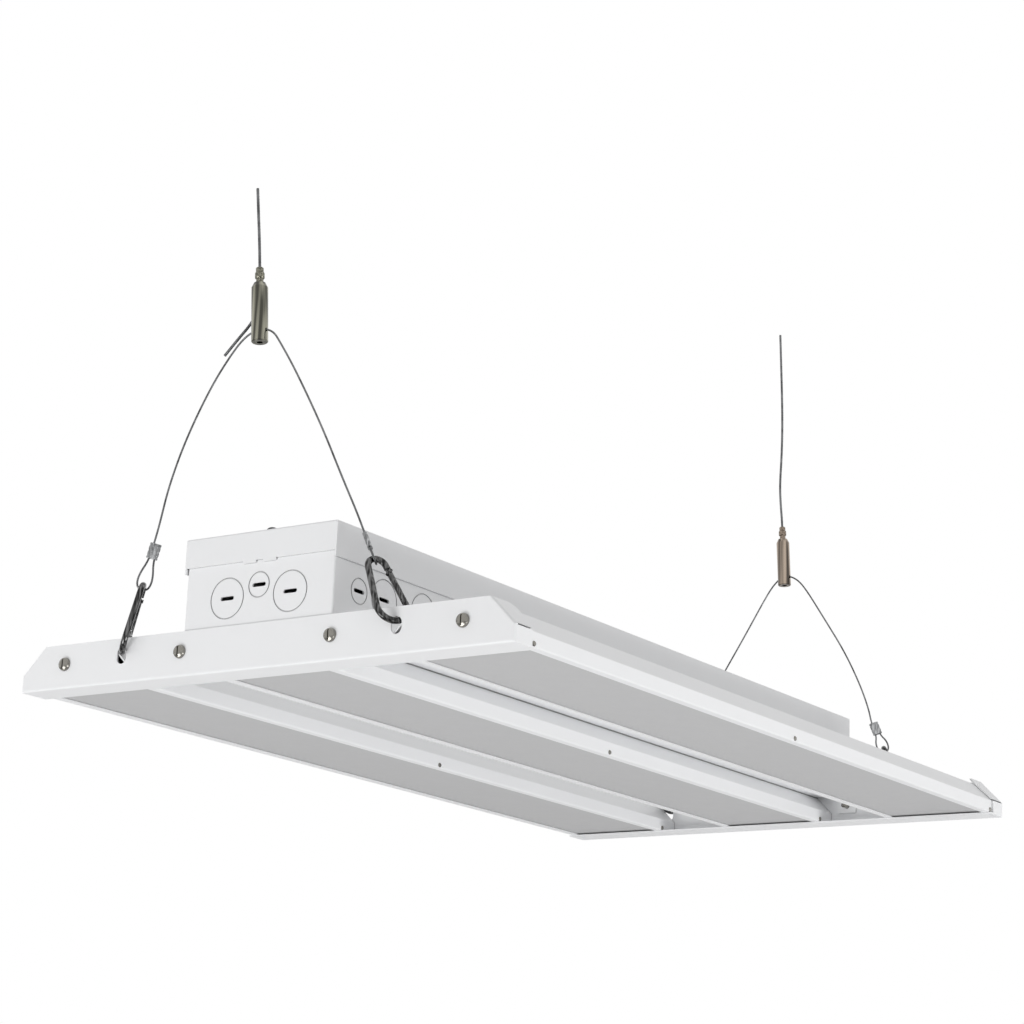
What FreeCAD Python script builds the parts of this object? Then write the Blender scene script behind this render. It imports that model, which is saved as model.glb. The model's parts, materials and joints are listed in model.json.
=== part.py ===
import FreeCAD, Part
import math
import operator
import os
import Sketcher

# A suspended high bay light: three lens bars between two folded end plates, a driver box on the
# middle bar, and a wire hanger at each end. Millimetres. +X runs along the bars from the near end
# to the far end, +Y is the left side, +Z is up, and the origin is the middle of the underside.

V = FreeCAD.Vector
DOC = FreeCAD.newDocument("high_bay_light")
SHEET = DOC.addObject("Spreadsheet::Sheet", "sizes")
NEAR, FAR = -1, 1
LEFT, RIGHT = 1, -1

SIZES = {
    # the whole fixture
    "fixture_length": (571.0, "outer face to outer face of the end plates"),
    "fixture_width": (320.0, "width of the end plates"),
    "seat_gap": (0.1, "gap between folded pieces that lie against each other"),
    # end plates
    "plate_sheet": (1.0, "sheet of the end plates"),
    "plate_height": (24.0, "height of an end plate"),
    "plate_chamfer": (14.7, "leg of the 45 degree top corners"),
    "flange_depth": (19.0, "depth of the bottom flange and corner flanges"),
    "flange_round": (4.0, "round at the top of a corner flange's end"),
    "tab_depth": (15.0, "depth of the side tabs"),
    "tab_relief": (1.0, "width of the relief cuts between flanges"),
    "plate_bend": (1.2, "outside bend radius of an end plate"),
    "screw_outer_place": (129.5, "plate screw to the middle, outer pair"),
    "screw_inner_place": (49.0, "plate screw to the middle, inner pair"),
    "screw_height": (13.2, "plate screws above the underside"),
    "slot_place": (89.5, "hanger slot to the middle"),
    "slot_top": (19.0, "top of a hanger slot"),
    "hook_seat": (0.4, "hanger slot's top to the hook's wire"),
    "slot_width": (6.4, "width of a hanger slot"),
    "slot_height": (8.8, "height of a hanger slot"),
    # bars
    "bar_sheet": (0.8, "sheet of the bar trays"),
    "bar_width": (74.0, "width of a bar"),
    "bar_height": (19.0, "height of a bar"),
    "bar_lip": (5.3, "width of the lips that hold the lens"),
    "bar_bend": (0.9, "outside bend radius of a bar"),
    "end_gap": (0.2, "bar end to end plate"),
    "end_tab_width": (18.0, "width of the bar's screwed end tab"),
    "end_tab_height": (11.5, "height of the bar's screwed end tab"),
    # lenses and their screws
    "lens_wall": (2.0, "wall of a lens"),
    "lens_rise": (1.2, "lens panel above its feet"),
    "lens_height": (6.4, "height of the lens's side walls"),
    "lens_gap": (0.3, "lens to bar wall"),
    "lens_screw_height": (1.8, "lens screws above the bar's underside"),
    "lens_screw_inset": (16.7, "outer lens screws to the bar's end"),
    "lens_screw_head": (1.35, "head radius of a lens screw"),
    "lens_screw_thread": (0.6, "thread radius of a lens screw"),
    "lens_screw_length": (2.6, "length of a lens screw under its head"),
    # light source
    "board_width": (26.0, "width of an LED board"),
    "board_thickness": (1.6, "thickness of an LED board"),
    "board_inset": (12.0, "LED board to the bar's end"),
    "led_size": (5.0, "side of an LED package"),
    "led_height": (0.8, "height of an LED package"),
    "led_count": (16.0, "LED packages on a board"),
    # driver box
    "box_sheet": (1.0, "sheet of the driver box and its lid"),
    "box_width": (99.2, "width over the lid"),
    "box_height": (53.1, "height of the box over the bars, with its lid"),
    "box_bend": (1.2, "outside bend radius of the box"),
    "lid_end_drop": (15.6, "depth of the lid's end flanges"),
    "lid_side_drop": (18.8, "depth of the lid's side flanges"),
    "lid_tongue_width": (8.4, "width of the tongues on the lid's end flanges"),
    "lid_tongue_drop": (1.3, "length of those tongues"),
    "lid_tongue_place": (6.6, "tongue to the middle"),
    "lid_screw_inset": (8.0, "lid screw to the lid's end"),
    "lid_shelf_width": (26.0, "width of the shelf under a lid screw"),
    "lid_shelf_depth": (15.0, "depth of that shelf"),
    "ear_width": (13.0, "width of the ears behind the inner plate screws"),
    "ear_drop": (11.5, "ears below the box"),
    "knockout_radius": (11.1, "large knock-out, for a 7/8 inch hole"),
    "small_knockout_radius": (7.0, "small knock-out"),
    "knockout_groove": (0.7, "width of the groove round a knock-out"),
    "knockout_depth": (0.55, "depth of that groove"),
    "pry_slot_length": (8.8, "length of the slot in a knock-out"),
    "pry_slot_width": (2.2, "width of the slot in a knock-out"),
    "end_knockout_place": (20.6, "large end knock-outs to the middle"),
    "end_knockout_height": (19.0, "large end knock-outs above the box's base"),
    "end_small_height": (24.4, "small end knock-out above the box's base"),
    "side_small_inset": (21.0, "side knock-outs to the box's end: the small one"),
    "side_first_inset": (42.5, "side knock-outs to the box's end: the first large one"),
    "side_second_inset": (77.0, "side knock-outs to the box's end: the second large one"),
    "side_knockout_height": (20.5, "side knock-outs above the box's base"),
    # what the box holds
    "driver_length": (236.0, "length of the driver's case"),
    "driver_width": (68.0, "width of the driver's case"),
    "driver_height": (38.0, "height of the driver's case"),
    "driver_place": (46.0, "driver's middle to the fixture's middle"),
    "driver_foot": (11.0, "length of the driver's screwed feet"),
    "driver_foot_sheet": (2.0, "thickness of those feet"),
    "driver_foot_hole": (30.0, "foot holes to the middle"),
    "terminal_length": (30.0, "length of the terminal block"),
    "terminal_width": (20.0, "width of the terminal block"),
    "terminal_height": (16.0, "height of the terminal block"),
    "terminal_place": (-170.0, "terminal block to the fixture's middle"),
    "terminal_entry_radius": (1.8, "wire entry in the terminal block"),
    "terminal_entry_pitch": (7.0, "spacing of the wire entries"),
    "terminal_entry_depth": (12.0, "depth of the wire entries"),
    # screws
    "screw_thread": (1.75, "thread radius of the plate and box screws"),
    "screw_head": (3.6, "head radius of those screws"),
    "screw_head_height": (2.3, "head height of those screws"),
    "screw_length": (8.0, "length of the plate screws under the head"),
    "short_screw_length": (4.5, "length of the box screws under the head"),
    "screw_play": (0.25, "clearance hole over the thread"),
    "bar_screw_place": (19.5, "box-to-bar screws to the middle"),
    "bar_screw_spacing": (230.0, "box-to-bar screws to the fixture's middle, along it"),
    # snap hooks
    "hook_length": (40.0, "overall length of a snap hook"),
    "hook_width": (20.0, "overall width of a snap hook"),
    "hook_top_width": (13.5, "width of a snap hook's narrow end"),
    "hook_wire": (1.7, "wire radius of a snap hook"),
    "gate_radius": (1.55, "radius of a snap hook's gate"),
    "gate_pivot_drop": (4.0, "gate pivot below the narrow bend"),
    "gate_gap": (0.3, "gate end to the hook's nose"),
    "tongue_thickness": (1.2, "flattened hook ends"),
    "tongue_reach": (2.4, "flattened nose into the gate's slot"),
    "tongue_play": (0.15, "gate slot beside a flattened end"),
    "rivet_radius": (0.6, "gate rivet"),
    "rivet_head": (1.05, "gate rivet's head"),
    "rivet_head_height": (0.45, "height of a gate rivet's head"),
    "rivet_play": (0.05, "gate bore round its rivet"),
    # grippers
    "gripper_radius": (4.5, "radius of a gripper"),
    "gripper_length": (33.5, "length of a gripper body"),
    "gripper_shoulder": (1.3, "width of the gripper's top chamfer"),
    "gripper_shoulder_height": (2.7, "height of the gripper's top chamfer"),
    "gripper_edge": (0.4, "bottom chamfer of a gripper"),
    "gripper_hole": (1.65, "radius of the hole in the gripper's foot"),
    "gripper_hole_depth": (4.6, "depth of that hole"),
    "chamber_floor": (22.0, "floor of the clamping chamber above the foot"),
    "chamber_radius": (3.05, "radius of the clamping chamber"),
    "cone_start": (26.6, "start of the clamping cone above the foot"),
    "cone_end": (30.6, "end of the clamping cone above the foot"),
    "nipple_neck": (1.95, "radius of the nipple's neck"),
    "nipple_play": (0.08, "gripper bore round the nipple's neck"),
    "nipple_grip": (2.6, "radius of the nipple's knurled ring"),
    "nipple_top": (2.1, "radius of the nipple's top"),
    "nipple_bore": (1.15, "wire bore of the nipple"),
    "nipple_stroke": (2.5, "nipple ring above the gripper body"),
    "nipple_ring": (3.7, "height of the nipple's knurled ring"),
    "nipple_crown": (2.8, "height of the nipple above its ring"),
    "collar_height": (1.1, "height of the nipple's inner collar"),
    "collar_play": (0.15, "chamber wall to collar"),
    "ball_radius": (0.85, "clamping balls"),
    "ball_height": (28.3, "clamping balls above the foot"),
    "ball_play": (0.02, "clamping balls to the wire"),
    "spring_wall": (0.9, "radial thickness of the clamping spring"),
    # wires
    "main_wire": (0.8, "radius of the main wires"),
    "bridle_wire": (0.55, "radius of the bridle wires"),
    "wire_channel": (0.35, "gripper channels over the wires"),
    "ferrule_length": (8.5, "length of a ferrule"),
    "ferrule_lane": (1.15, "wire lanes of a ferrule to its middle"),
    "ferrule_radius": (1.95, "outside radius of a ferrule's barrels"),
    "ferrule_waist": (1.2, "half thickness of a ferrule's waist"),
    "ferrule_fit": (0.02, "ferrule bores over the wire"),
    # stance of the hangers: lean of the grippers, lean and turn of the hooks, degrees
    "near_gripper_lean": (4.6, "near gripper, towards the left"),
    "far_gripper_lean": (3.2, "far gripper, towards the left"),
    "near_left_lean": (17.5, "near left hook, towards the middle"),
    "near_right_lean": (26.0, "near right hook, towards the middle"),
    "far_left_lean": (21.0, "far left hook, towards the middle"),
    "far_right_lean": (23.0, "far right hook, towards the middle"),
    "near_left_turn": (38.0, "near left hook about its length"),
    "near_right_turn": (-27.0, "near right hook about its length"),
    "far_left_turn": (20.0, "far left hook about its length"),
    "far_right_turn": (-26.0, "far right hook about its length"),
    "near_left_ferrule": (51.0, "near left ferrule above the hook's foot"),
    "near_right_ferrule": (46.0, "near right ferrule above the hook's foot"),
    "far_left_ferrule": (48.0, "far left ferrule above the hook's foot"),
    "far_right_ferrule": (47.6, "far right ferrule above the hook's foot"),
}

# How far a 45 degree bend's inner corner lies off its outer one, for each millimetre of sheet.
MITER = math.tan(math.radians(22.5))
# Share of its shorter run that a bend of a wire takes.
BEND_SHARE = 0.45
# Grippers' feet in the plane of their end plate: (Y, Z).
GRIPPER_FOOT = {NEAR: (9.9, 176.4), FAR: (1.0, 170.6)}
# Where a bridle wire crosses its gripper: (Y, Z).
BRIDLE_CROSSING = {NEAR: (10.6, 184.1), FAR: (1.5, 178.3)}
# Bridle legs from the ferrule up to the gripper, in the plane of the end plate: (Y, Z).
BRIDLE_LEGS = {
    (NEAR, LEFT): [(68.9, 84.5), (64.4, 104.5), (55.4, 129.5), (41.5, 156.0), (29.0, 172.5), (20.0, 181.2)],
    (NEAR, RIGHT): [(-60.6, 76.0), (-50.5, 94.5), (-35.5, 123.5), (-16.0, 156.5), (-4.6, 173.5), (1.5, 181.8)],
    (FAR, LEFT): [(65.6, 80.0), (57.8, 97.0), (46.0, 115.5), (30.5, 139.5), (17.5, 160.5), (10.0, 171.5)],
    (FAR, RIGHT): [(-63.9, 79.0), (-57.2, 96.5), (-45.5, 120.0), (-29.8, 144.5), (-15.8, 166.3), (-8.2, 174.8)],
}
# A bridle's end loop, seen across the hook: (across, height above the ferrule's foot or the hook's top).
LOOP_SHOULDER = (3.9, 4.6)
LOOP_FLANK = (3.3, -1.3)
LOOP_FOOT = -2.9
# Main wires from the tail's end to the ceiling end: (X from the end plate, Y, Z).
MAIN_WIRES = {
    NEAR: [(0, 33.4, 172.5), (0, 24.6, 180.8), (0, 16.6, 187.6), (0, 11.5, 196.3), (0, 13.67, 223.2),
           (0, 15.2, 237.5), (0, 16.9, 251.2), (0, 18.5, 264.8)],
    FAR: [(9.4, 8.2, 174.6), (5.4, 5.6, 182.2), (0, 2.12, 190.6), (0, 3.62, 217.5), (0, 4.9, 230.0),
          (0, 5.7, 244.0), (0, 4.5, 266.0), (0, 4.3, 292.0), (0, 5.4, 322.0), (0, 6.9, 355.7)],
}


class Size:
    """A length of the sheet, or a sum of such lengths: its value and its formula."""

    def __init__(self, value, formula):
        self.value = float(value)
        self.formula = formula

    def __add__(self, other):
        return joined(self, "+", other, operator.add)

    def __radd__(self, other):
        return joined(other, "+", self, operator.add)

    def __sub__(self, other):
        return joined(self, "-", other, operator.sub)

    def __rsub__(self, other):
        return joined(other, "-", self, operator.sub)

    def __mul__(self, other):
        return joined(self, "*", other, operator.mul)

    def __rmul__(self, other):
        return joined(other, "*", self, operator.mul)

    def __truediv__(self, other):
        return joined(self, "/", other, operator.truediv)

    def __neg__(self):
        return Size(-self.value, f"(-1 * {self.formula})")


def as_size(number):
    return number if isinstance(number, Size) else Size(number, f"{float(number):.10g}")


def joined(first, sign, second, work):
    first, second = as_size(first), as_size(second)
    return Size(work(first.value, second.value), f"({first.formula} {sign} {second.formula})")


def fill_sheet():
    """Writes every size to the sheet: its value in column A, with its name as alias, and its use in B."""
    for row, (name, (value, use)) in enumerate(SIZES.items(), start=1):
        SHEET.set(f"A{row}", f"{value:.10g}")
        SHEET.setAlias(f"A{row}", name)
        SHEET.set(f"B{row}", use)
    DOC.recompute()


def size(name):
    return Size(SIZES[name][0], f"sizes.{name}")


def mm(name):
    return SIZES[name][0]


# ---------------------------------------------------------------- ways of making a piece


def new_body(label):
    body = DOC.addObject("PartDesign::Body", label)
    body.Label = label
    return body


def place(body, x=0, y=0, z=0, turn=0):
    """Sets the body down at x, y, z, turned about Z by turn degrees."""
    body.Placement = FreeCAD.Placement(V(0, 0, 0), FreeCAD.Rotation(V(0, 0, 1), turn))
    for axis, where in (("x", x), ("y", y), ("z", z)):
        body.setExpression(f"Placement.Base.{axis}", as_size(where).formula)


def new_sketch(body, role, name, offset=0):
    """A sketch on one of the body's own origin planes, moved out along its normal by offset."""
    plane = next(each for each in body.Origin.OriginFeatures if each.Role == role)
    sketch = body.newObject("Sketcher::SketchObject", f"{body.Name}_{name}")
    sketch.AttachmentSupport = [(plane, "")]
    sketch.MapMode = "FlatFace"
    sketch.setExpression("AttachmentOffset.Base.z", as_size(offset).formula)
    return sketch


def held(sketch, kind, line, point, where):
    """Holds a point of the sketch at a signed distance from the origin."""
    where = as_size(where)
    index = sketch.addConstraint(Sketcher.Constraint(kind, -1, 1, line, point, where.value))
    sketch.setExpression(f"Constraints[{index}]", where.formula)


def draw(sketch, corners, arcs=None):
    """A closed outline through the corners, each held from the origin. Its sides are straight, but
    arcs gives the radius of any side, by number, that is a quarter turn bulging out of the corner."""
    arcs = arcs or {}
    corners = [(as_size(across), as_size(up)) for across, up in corners]
    spots = [V(across.value, up.value, 0) for across, up in corners]
    sides = []
    for number, (a, b) in enumerate(zip(spots, spots[1:] + spots[:1])):
        if number in arcs:
            radius = arcs[number]
            middle = V(a.x, b.y, 0)
            halfway = middle + ((a - middle) + (b - middle)).normalize() * radius.value
            sides.append(sketch.addGeometry(Part.Arc(b, halfway, a)))
            index = sketch.addConstraint(Sketcher.Constraint("Radius", sides[-1], radius.value))
            sketch.setExpression(f"Constraints[{index}]", radius.formula)
        else:
            sides.append(sketch.addGeometry(Part.LineSegment(a, b)))
    for number, (side, following) in enumerate(zip(sides, sides[1:] + sides[:1])):
        end = 1 if number in arcs else 2
        start = 2 if (number + 1) % len(sides) in arcs else 1
        sketch.addConstraint(Sketcher.Constraint("Coincident", side, end, following, start))
    for number, (side, (across, up)) in enumerate(zip(sides, corners)):
        start = 2 if number in arcs else 1
        held(sketch, "DistanceX", side, start, across)
        held(sketch, "DistanceY", side, start, up)


def draw_box(sketch, low, high):
    draw(sketch, [low, (high[0], low[1]), high, (low[0], high[1])])


def draw_circle(sketch, across, up, radius):
    across, up, radius = as_size(across), as_size(up), as_size(radius)
    circle = Part.Circle(V(across.value, up.value, 0), V(0, 0, 1), radius.value)
    ring = sketch.addGeometry(circle)
    held(sketch, "DistanceX", ring, 3, across)
    held(sketch, "DistanceY", ring, 3, up)
    index = sketch.addConstraint(Sketcher.Constraint("Radius", ring, radius.value))
    sketch.setExpression(f"Constraints[{index}]", radius.formula)


def draw_round_slot(sketch, across, up, length, width, upright=False):
    """A slot with round ends: two lines and two half circles about its middle."""
    across, up, length, width = (as_size(each) for each in (across, up, length, width))
    reach, half = (length - width) / 2, width / 2
    along, aside = (V(0, 1, 0), V(1, 0, 0)) if upright else (V(1, 0, 0), V(0, -1, 0))
    middle = V(across.value, up.value, 0)
    first, last = middle - along * reach.value, middle + along * reach.value
    right = sketch.addGeometry(Part.LineSegment(first + aside * half.value, last + aside * half.value))
    left = sketch.addGeometry(Part.LineSegment(last - aside * half.value, first - aside * half.value))
    sides = {
        "last": Part.Arc(last + aside * half.value, last + along * half.value, last - aside * half.value),
        "first": Part.Arc(first - aside * half.value, first - along * half.value, first + aside * half.value),
    }
    last_arc = sketch.addGeometry(sides["last"])
    first_arc = sketch.addGeometry(sides["first"])
    for arc, start, end in ((last_arc, right, left), (first_arc, left, right)):
        sketch.addConstraint(Sketcher.Constraint("Tangent", start, 2, arc, 1))
        sketch.addConstraint(Sketcher.Constraint("Tangent", arc, 2, end, 1))
    ends = ((first_arc, -reach), (last_arc, reach))
    for arc, way in ends:
        held(sketch, "DistanceX", arc, 3, across if upright else across + way)
        held(sketch, "DistanceY", arc, 3, up + way if upright else up)
    index = sketch.addConstraint(Sketcher.Constraint("Radius", first_arc, half.value))
    sketch.setExpression(f"Constraints[{index}]", half.formula)


def pad(body, sketch, length, both_ways=False, reverse=False):
    """Adds the sketch's outline, length thick, along its normal, against it or half each way."""
    feature = body.newObject("PartDesign::Pad", f"{sketch.Name}_pad")
    feature.Profile = sketch
    feature.setExpression("Length", as_size(length).formula)
    feature.SideType = "Symmetric" if both_ways else "One side"
    feature.Reversed = reverse
    return feature


def cut(body, sketch, depth, both_ways=False, reverse=False):
    """Cuts the sketch's outline, depth deep, against its normal, along it or half each way."""
    DOC.recompute()
    before = body.Shape.Volume
    feature = body.newObject("PartDesign::Pocket", f"{sketch.Name}_cut")
    feature.Profile = sketch
    feature.setExpression("Length", as_size(depth).formula)
    feature.SideType = "Symmetric" if both_ways else "One side"
    feature.Reversed = reverse
    DOC.recompute()
    if body.Shape.Volume >= before:
        raise RuntimeError(f"{sketch.Name} cuts nothing")
    return feature


def round_edges(body, radius, chosen):
    """Fillets those edges of the body so far that chosen picks."""
    DOC.recompute()
    base = body.Tip
    names = [f"Edge{n}" for n, edge in enumerate(base.Shape.Edges, start=1) if chosen(edge)]
    feature = body.newObject("PartDesign::Fillet", f"{body.Name}_rounds")
    feature.Base = (base, names)
    feature.setExpression("Radius", as_size(radius).formula)
    return feature


def straight_edge(edge, direction):
    """True for a straight edge along the direction."""
    if not isinstance(edge.Curve, (Part.Line, Part.LineSegment)):
        return False
    return edge.Curve.Direction.cross(direction).Length < 1e-6


def piece(label, shape):
    """A sub-part whose shape is worked out with Part's own functions."""
    part = DOC.addObject("Part::Feature", label)
    part.Label = label
    part.Shape = shape
    return part


def turned(profile, axis_place=V(0, 0, 0), direction=V(0, 0, 1)):
    """A solid turned from (radius, height) points, stood on axis_place along direction."""
    points = [V(radius, 0, height) for radius, height in profile]
    face = Part.Face(Part.makePolygon(points + points[:1]))
    solid = face.revolve(V(0, 0, 0), V(0, 0, 1), 360)
    solid.Placement = FreeCAD.Placement(axis_place, FreeCAD.Rotation(V(0, 0, 1), direction))
    return solid


def pan_screw(under_head, direction, head, head_height, thread, length):
    """A pan-head screw whose head's underside sits at under_head and whose thread goes along direction."""
    crown = 0.55 * head
    profile = [(0, -head_height), (crown, -head_height), (0.9 * head, -0.72 * head_height),
               (head, -0.35 * head_height), (head, 0), (thread, 0), (thread, length - thread / 2),
               (thread / 2, length), (0, length)]
    recess = Part.makeBox(1.5 * head, 0.22 * head, 0.45 * head_height, V(-0.75 * head, -0.11 * head, -head_height))
    recess.Placement = FreeCAD.Placement(under_head, FreeCAD.Rotation(V(0, 0, 1), direction))
    return turned(profile, under_head, direction).cut(recess)


# ---------------------------------------------------------------- wires


def rounded_path(points):
    """Straight runs joined by tangent arcs, and the smallest radius among the arcs."""
    edges, radii = [], []
    start = points[0]
    for before, corner, after in zip(points, points[1:], points[2:]):
        back, ahead = before - corner, after - corner
        share = BEND_SHARE * min(back.Length, ahead.Length)
        back, ahead = back.normalize(), ahead.normalize()
        inward = (back + ahead).normalize()
        half_turn = (math.pi - back.getAngle(ahead)) / 2
        radius = share / math.tan(half_turn)
        middle = corner + inward * (radius / math.cos(half_turn) - radius)
        first, last = corner + back * share, corner + ahead * share
        edges += [Part.LineSegment(start, first).toShape(), Part.Arc(first, middle, last).toShape()]
        radii.append(radius)
        start = last
    edges.append(Part.LineSegment(start, points[-1]).toShape())
    return Part.Wire(edges), radii


def swept_round(path, radius):
    """A round bar along a path of lines and arcs: its ring is moved and turned from face to face."""
    first = path.Edges[0]
    start = first.FirstParameter
    ring = Part.makeCircle(radius, first.valueAt(start), first.tangentAt(start))
    faces = [Part.Face(Part.Wire(ring))]
    for edge in path.Edges:
        if isinstance(edge.Curve, Part.Circle):
            middle, axis = edge.Curve.Center, edge.Curve.Axis
            turn = math.degrees(edge.LastParameter - edge.FirstParameter)
            faces.append(ring.revolve(middle, axis, turn))
            ring = ring.rotated(middle, axis, turn)
        else:
            span = edge.valueAt(edge.LastParameter) - edge.valueAt(edge.FirstParameter)
            faces.append(ring.extrude(span))
            ring = ring.translated(span)
    faces.append(Part.Face(Part.Wire(ring)))
    shell = Part.Shell(faces)
    shell.sewShape()
    return Part.Solid(shell)


def tube(points, radius):
    """A round wire along the rounded path through the points, its length and its smallest radius."""
    path, radii = rounded_path(points)
    return swept_round(path, radius), path.Length, min(radii)


def wire_piece(label, points, radius):
    """A wire of its own, whose volume has to be its section times its length."""
    shape, length, tightest = tube(points, radius)
    share = shape.Volume / (math.pi * radius**2 * length)
    print(f"{label}: length {length:.1f}, smallest radius {tightest:.1f}, volume share {share:.4f}")
    return piece(label, shape)


# ---------------------------------------------------------------- the fixture


def end_plate(label, end):
    """A folded pan, open at the top: face, bottom flange, side tabs and corner flanges."""
    body = new_body(label)
    place(body, x=end * size("fixture_length") / 2, turn=0 if end == NEAR else 180)
    half, height = size("fixture_width") / 2, size("plate_height")
    chamfer, metal, depth = size("plate_chamfer"), size("plate_sheet"), size("flange_depth")
    wall = height - chamfer
    miter = metal * MITER
    slant = metal * math.sqrt(2)

    outline = new_sketch(body, "YZ_Plane", "outline")
    draw(outline, [(-half, 0), (half, 0), (half, wall), (half - chamfer, height),
                   (chamfer - half, height), (-half, wall)])
    pad(body, outline, depth)

    def front_edge(edge):
        return edge.BoundBox.XMax < 1e-3 and edge.BoundBox.ZMin < height.value - 1e-3

    round_edges(body, size("plate_bend"), front_edge)

    top = height + metal
    inner_half = half - metal
    inner_top = half - chamfer - slant - metal
    inside = new_sketch(body, "YZ_Plane", "inside", metal)
    draw(inside, [(-inner_half, metal), (inner_half, metal), (inner_half, wall - miter), (inner_top, top),
                  (-inner_top, top), (-inner_half, wall - miter)])
    cut(body, inside, depth, reverse=True)

    # the corner flanges' rounded ends run back to the side tabs, whose relief cuts part them
    ends = new_sketch(body, "XZ_Plane", "flange_ends")
    rounding = size("flange_round")
    draw(ends, [(depth + metal, height + metal), (depth - rounding, height + metal), (depth - rounding, height),
                (depth, height - rounding), (size("tab_depth"), wall), (depth + metal, wall)],
         arcs={2: rounding})
    cut(body, ends, size("fixture_width") + metal, both_ways=True)
    tabs = new_sketch(body, "XZ_Plane", "tab_ends")
    draw_box(tabs, (size("tab_depth"), metal), (depth + metal, wall))
    cut(body, tabs, size("fixture_width") + metal, both_ways=True)
    reliefs = new_sketch(body, "XZ_Plane", "reliefs")
    draw_box(reliefs, (metal * 2, wall - size("tab_relief") / 2), (depth + metal, wall + size("tab_relief") / 2))
    cut(body, reliefs, size("fixture_width") + metal, both_ways=True)

    holes = new_sketch(body, "YZ_Plane", "holes")
    for side in (LEFT, RIGHT):
        for where in (size("screw_inner_place"), size("screw_outer_place")):
            draw_circle(holes, side * where, size("screw_height"), size("screw_thread") + size("screw_play"))
        draw_round_slot(holes, side * size("slot_place"), size("slot_top") - size("slot_height") / 2,
                        size("slot_height"), size("slot_width"), upright=True)
    cut(body, holes, metal * 2, reverse=True)
    return body


def bar_length():
    return size("fixture_length") - 2 * (size("plate_sheet") + size("end_gap"))


def bar_place(side):
    """A bar's middle: the outer bars lie inside the end plates' side tabs."""
    outer = size("fixture_width") / 2 - size("plate_sheet") - size("seat_gap") - size("bar_width") / 2
    return side * outer


def bar_slope():
    """Leg of a bar's shoulder, which lies along the inside of the end plate's corner flange."""
    plate_wall = size("plate_height") - size("plate_chamfer")
    inside = plate_wall - size("plate_sheet") * MITER - size("plate_sheet")
    return size("bar_height") - (inside - size("seat_gap") * 2 * MITER)


def bar_tray(label, side):
    """A folded channel with lips below and sloping shoulders; the outer ones have screwed end tabs."""
    body = new_body(label)
    place(body, y=bar_place(side), z=size("plate_sheet"))
    half, height, metal = size("bar_width") / 2, size("bar_height"), size("bar_sheet")
    slope, lip = bar_slope(), size("bar_lip")
    wall = height - slope
    miter = metal * MITER
    profile = [(half - lip, 0), (half, 0), (half, wall), (half - slope, height)]
    inside = [(half - slope - miter, height - metal), (half - metal, wall - miter), (half - metal, metal),
              (half - lip, metal)]
    mirrored = [(-across, up) for across, up in reversed(profile)]
    mirrored_inside = [(-across, up) for across, up in reversed(inside)]
    section = new_sketch(body, "YZ_Plane", "section")
    draw(section, profile + mirrored + mirrored_inside + inside)
    pad(body, section, bar_length(), both_ways=True)

    def outside_bend(edge):
        if not straight_edge(edge, V(1, 0, 0)):
            return False
        across, up = abs(edge.Vertexes[0].Y), edge.Vertexes[0].Z
        corners = [(half.value, 0), (half.value, wall.value), ((half - slope).value, height.value)]
        return any(math.hypot(across - a, up - b) < 1e-3 for a, b in corners)

    round_edges(body, size("bar_bend"), outside_bend)

    for screw_side in (LEFT, RIGHT):
        holes = new_sketch(body, "XZ_Plane", f"lens_holes_{'left' if screw_side == LEFT else 'right'}",
                           -screw_side * (half + metal))
        for along in lens_screw_places():
            draw_circle(holes, along, size("lens_screw_height"), size("lens_screw_thread") + size("seat_gap"))
        cut(body, holes, metal * 3, reverse=screw_side == LEFT)

    if not side:
        top_holes = new_sketch(body, "XY_Plane", "top_holes", height)
        for along, across in box_screw_places():
            draw_circle(top_holes, along, across, size("screw_thread") + size("screw_play"))
        cut(body, top_holes, metal * 2)
    else:
        middle = side * size("screw_outer_place") - bar_place(side)
        for end in (NEAR, FAR):
            tab = new_sketch(body, "YZ_Plane", "near_tab" if end == NEAR else "far_tab", end * bar_length() / 2)
            draw_box(tab, (middle - size("end_tab_width") / 2, height - metal / 2 - size("end_tab_height")),
                     (middle + size("end_tab_width") / 2, height - metal / 2))
            draw_circle(tab, middle, size("screw_height") - size("plate_sheet"),
                        size("screw_thread") + size("seat_gap"))
            pad(body, tab, metal, reverse=end == FAR)
    return body


def box_screw_places():
    """Where the driver box is screwed to the middle bar: (along, across)."""
    along, across = size("bar_screw_spacing"), size("bar_screw_place")
    return [(way * along, side * across) for way in (NEAR, FAR) for side in (LEFT, RIGHT)]


def lens_screw_places():
    reach = bar_length() / 2 - size("lens_screw_inset")
    return (-reach, as_size(0), reach)


def lens(label, side):
    """A frosted panel between two side walls, whose feet stand on the bar's lips."""
    body = new_body(label)
    place(body, y=bar_place(side), z=size("plate_sheet") + size("bar_sheet"))
    half = size("bar_width") / 2 - size("bar_sheet") - size("lens_gap")
    wall, rise, height = size("lens_wall"), size("lens_rise"), size("lens_height")
    right = [(half - wall, 0), (half, 0), (half, height), (half - wall, height)]
    left = [(-across, up) for across, up in reversed(right)]
    section = new_sketch(body, "YZ_Plane", "section")
    draw(section, right + [(half - wall, rise + wall), (wall - half, rise + wall)] + left
         + [(wall - half, rise), (half - wall, rise)])
    pad(body, section, bar_length() - 2 * size("seat_gap"), both_ways=True)
    holes = new_sketch(body, "XZ_Plane", "screw_holes")
    for along in lens_screw_places():
        draw_circle(holes, along, size("lens_screw_height") - size("bar_sheet"),
                    size("lens_screw_thread") + size("seat_gap"))
    cut(body, holes, size("bar_width"), both_ways=True)
    return body


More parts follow.
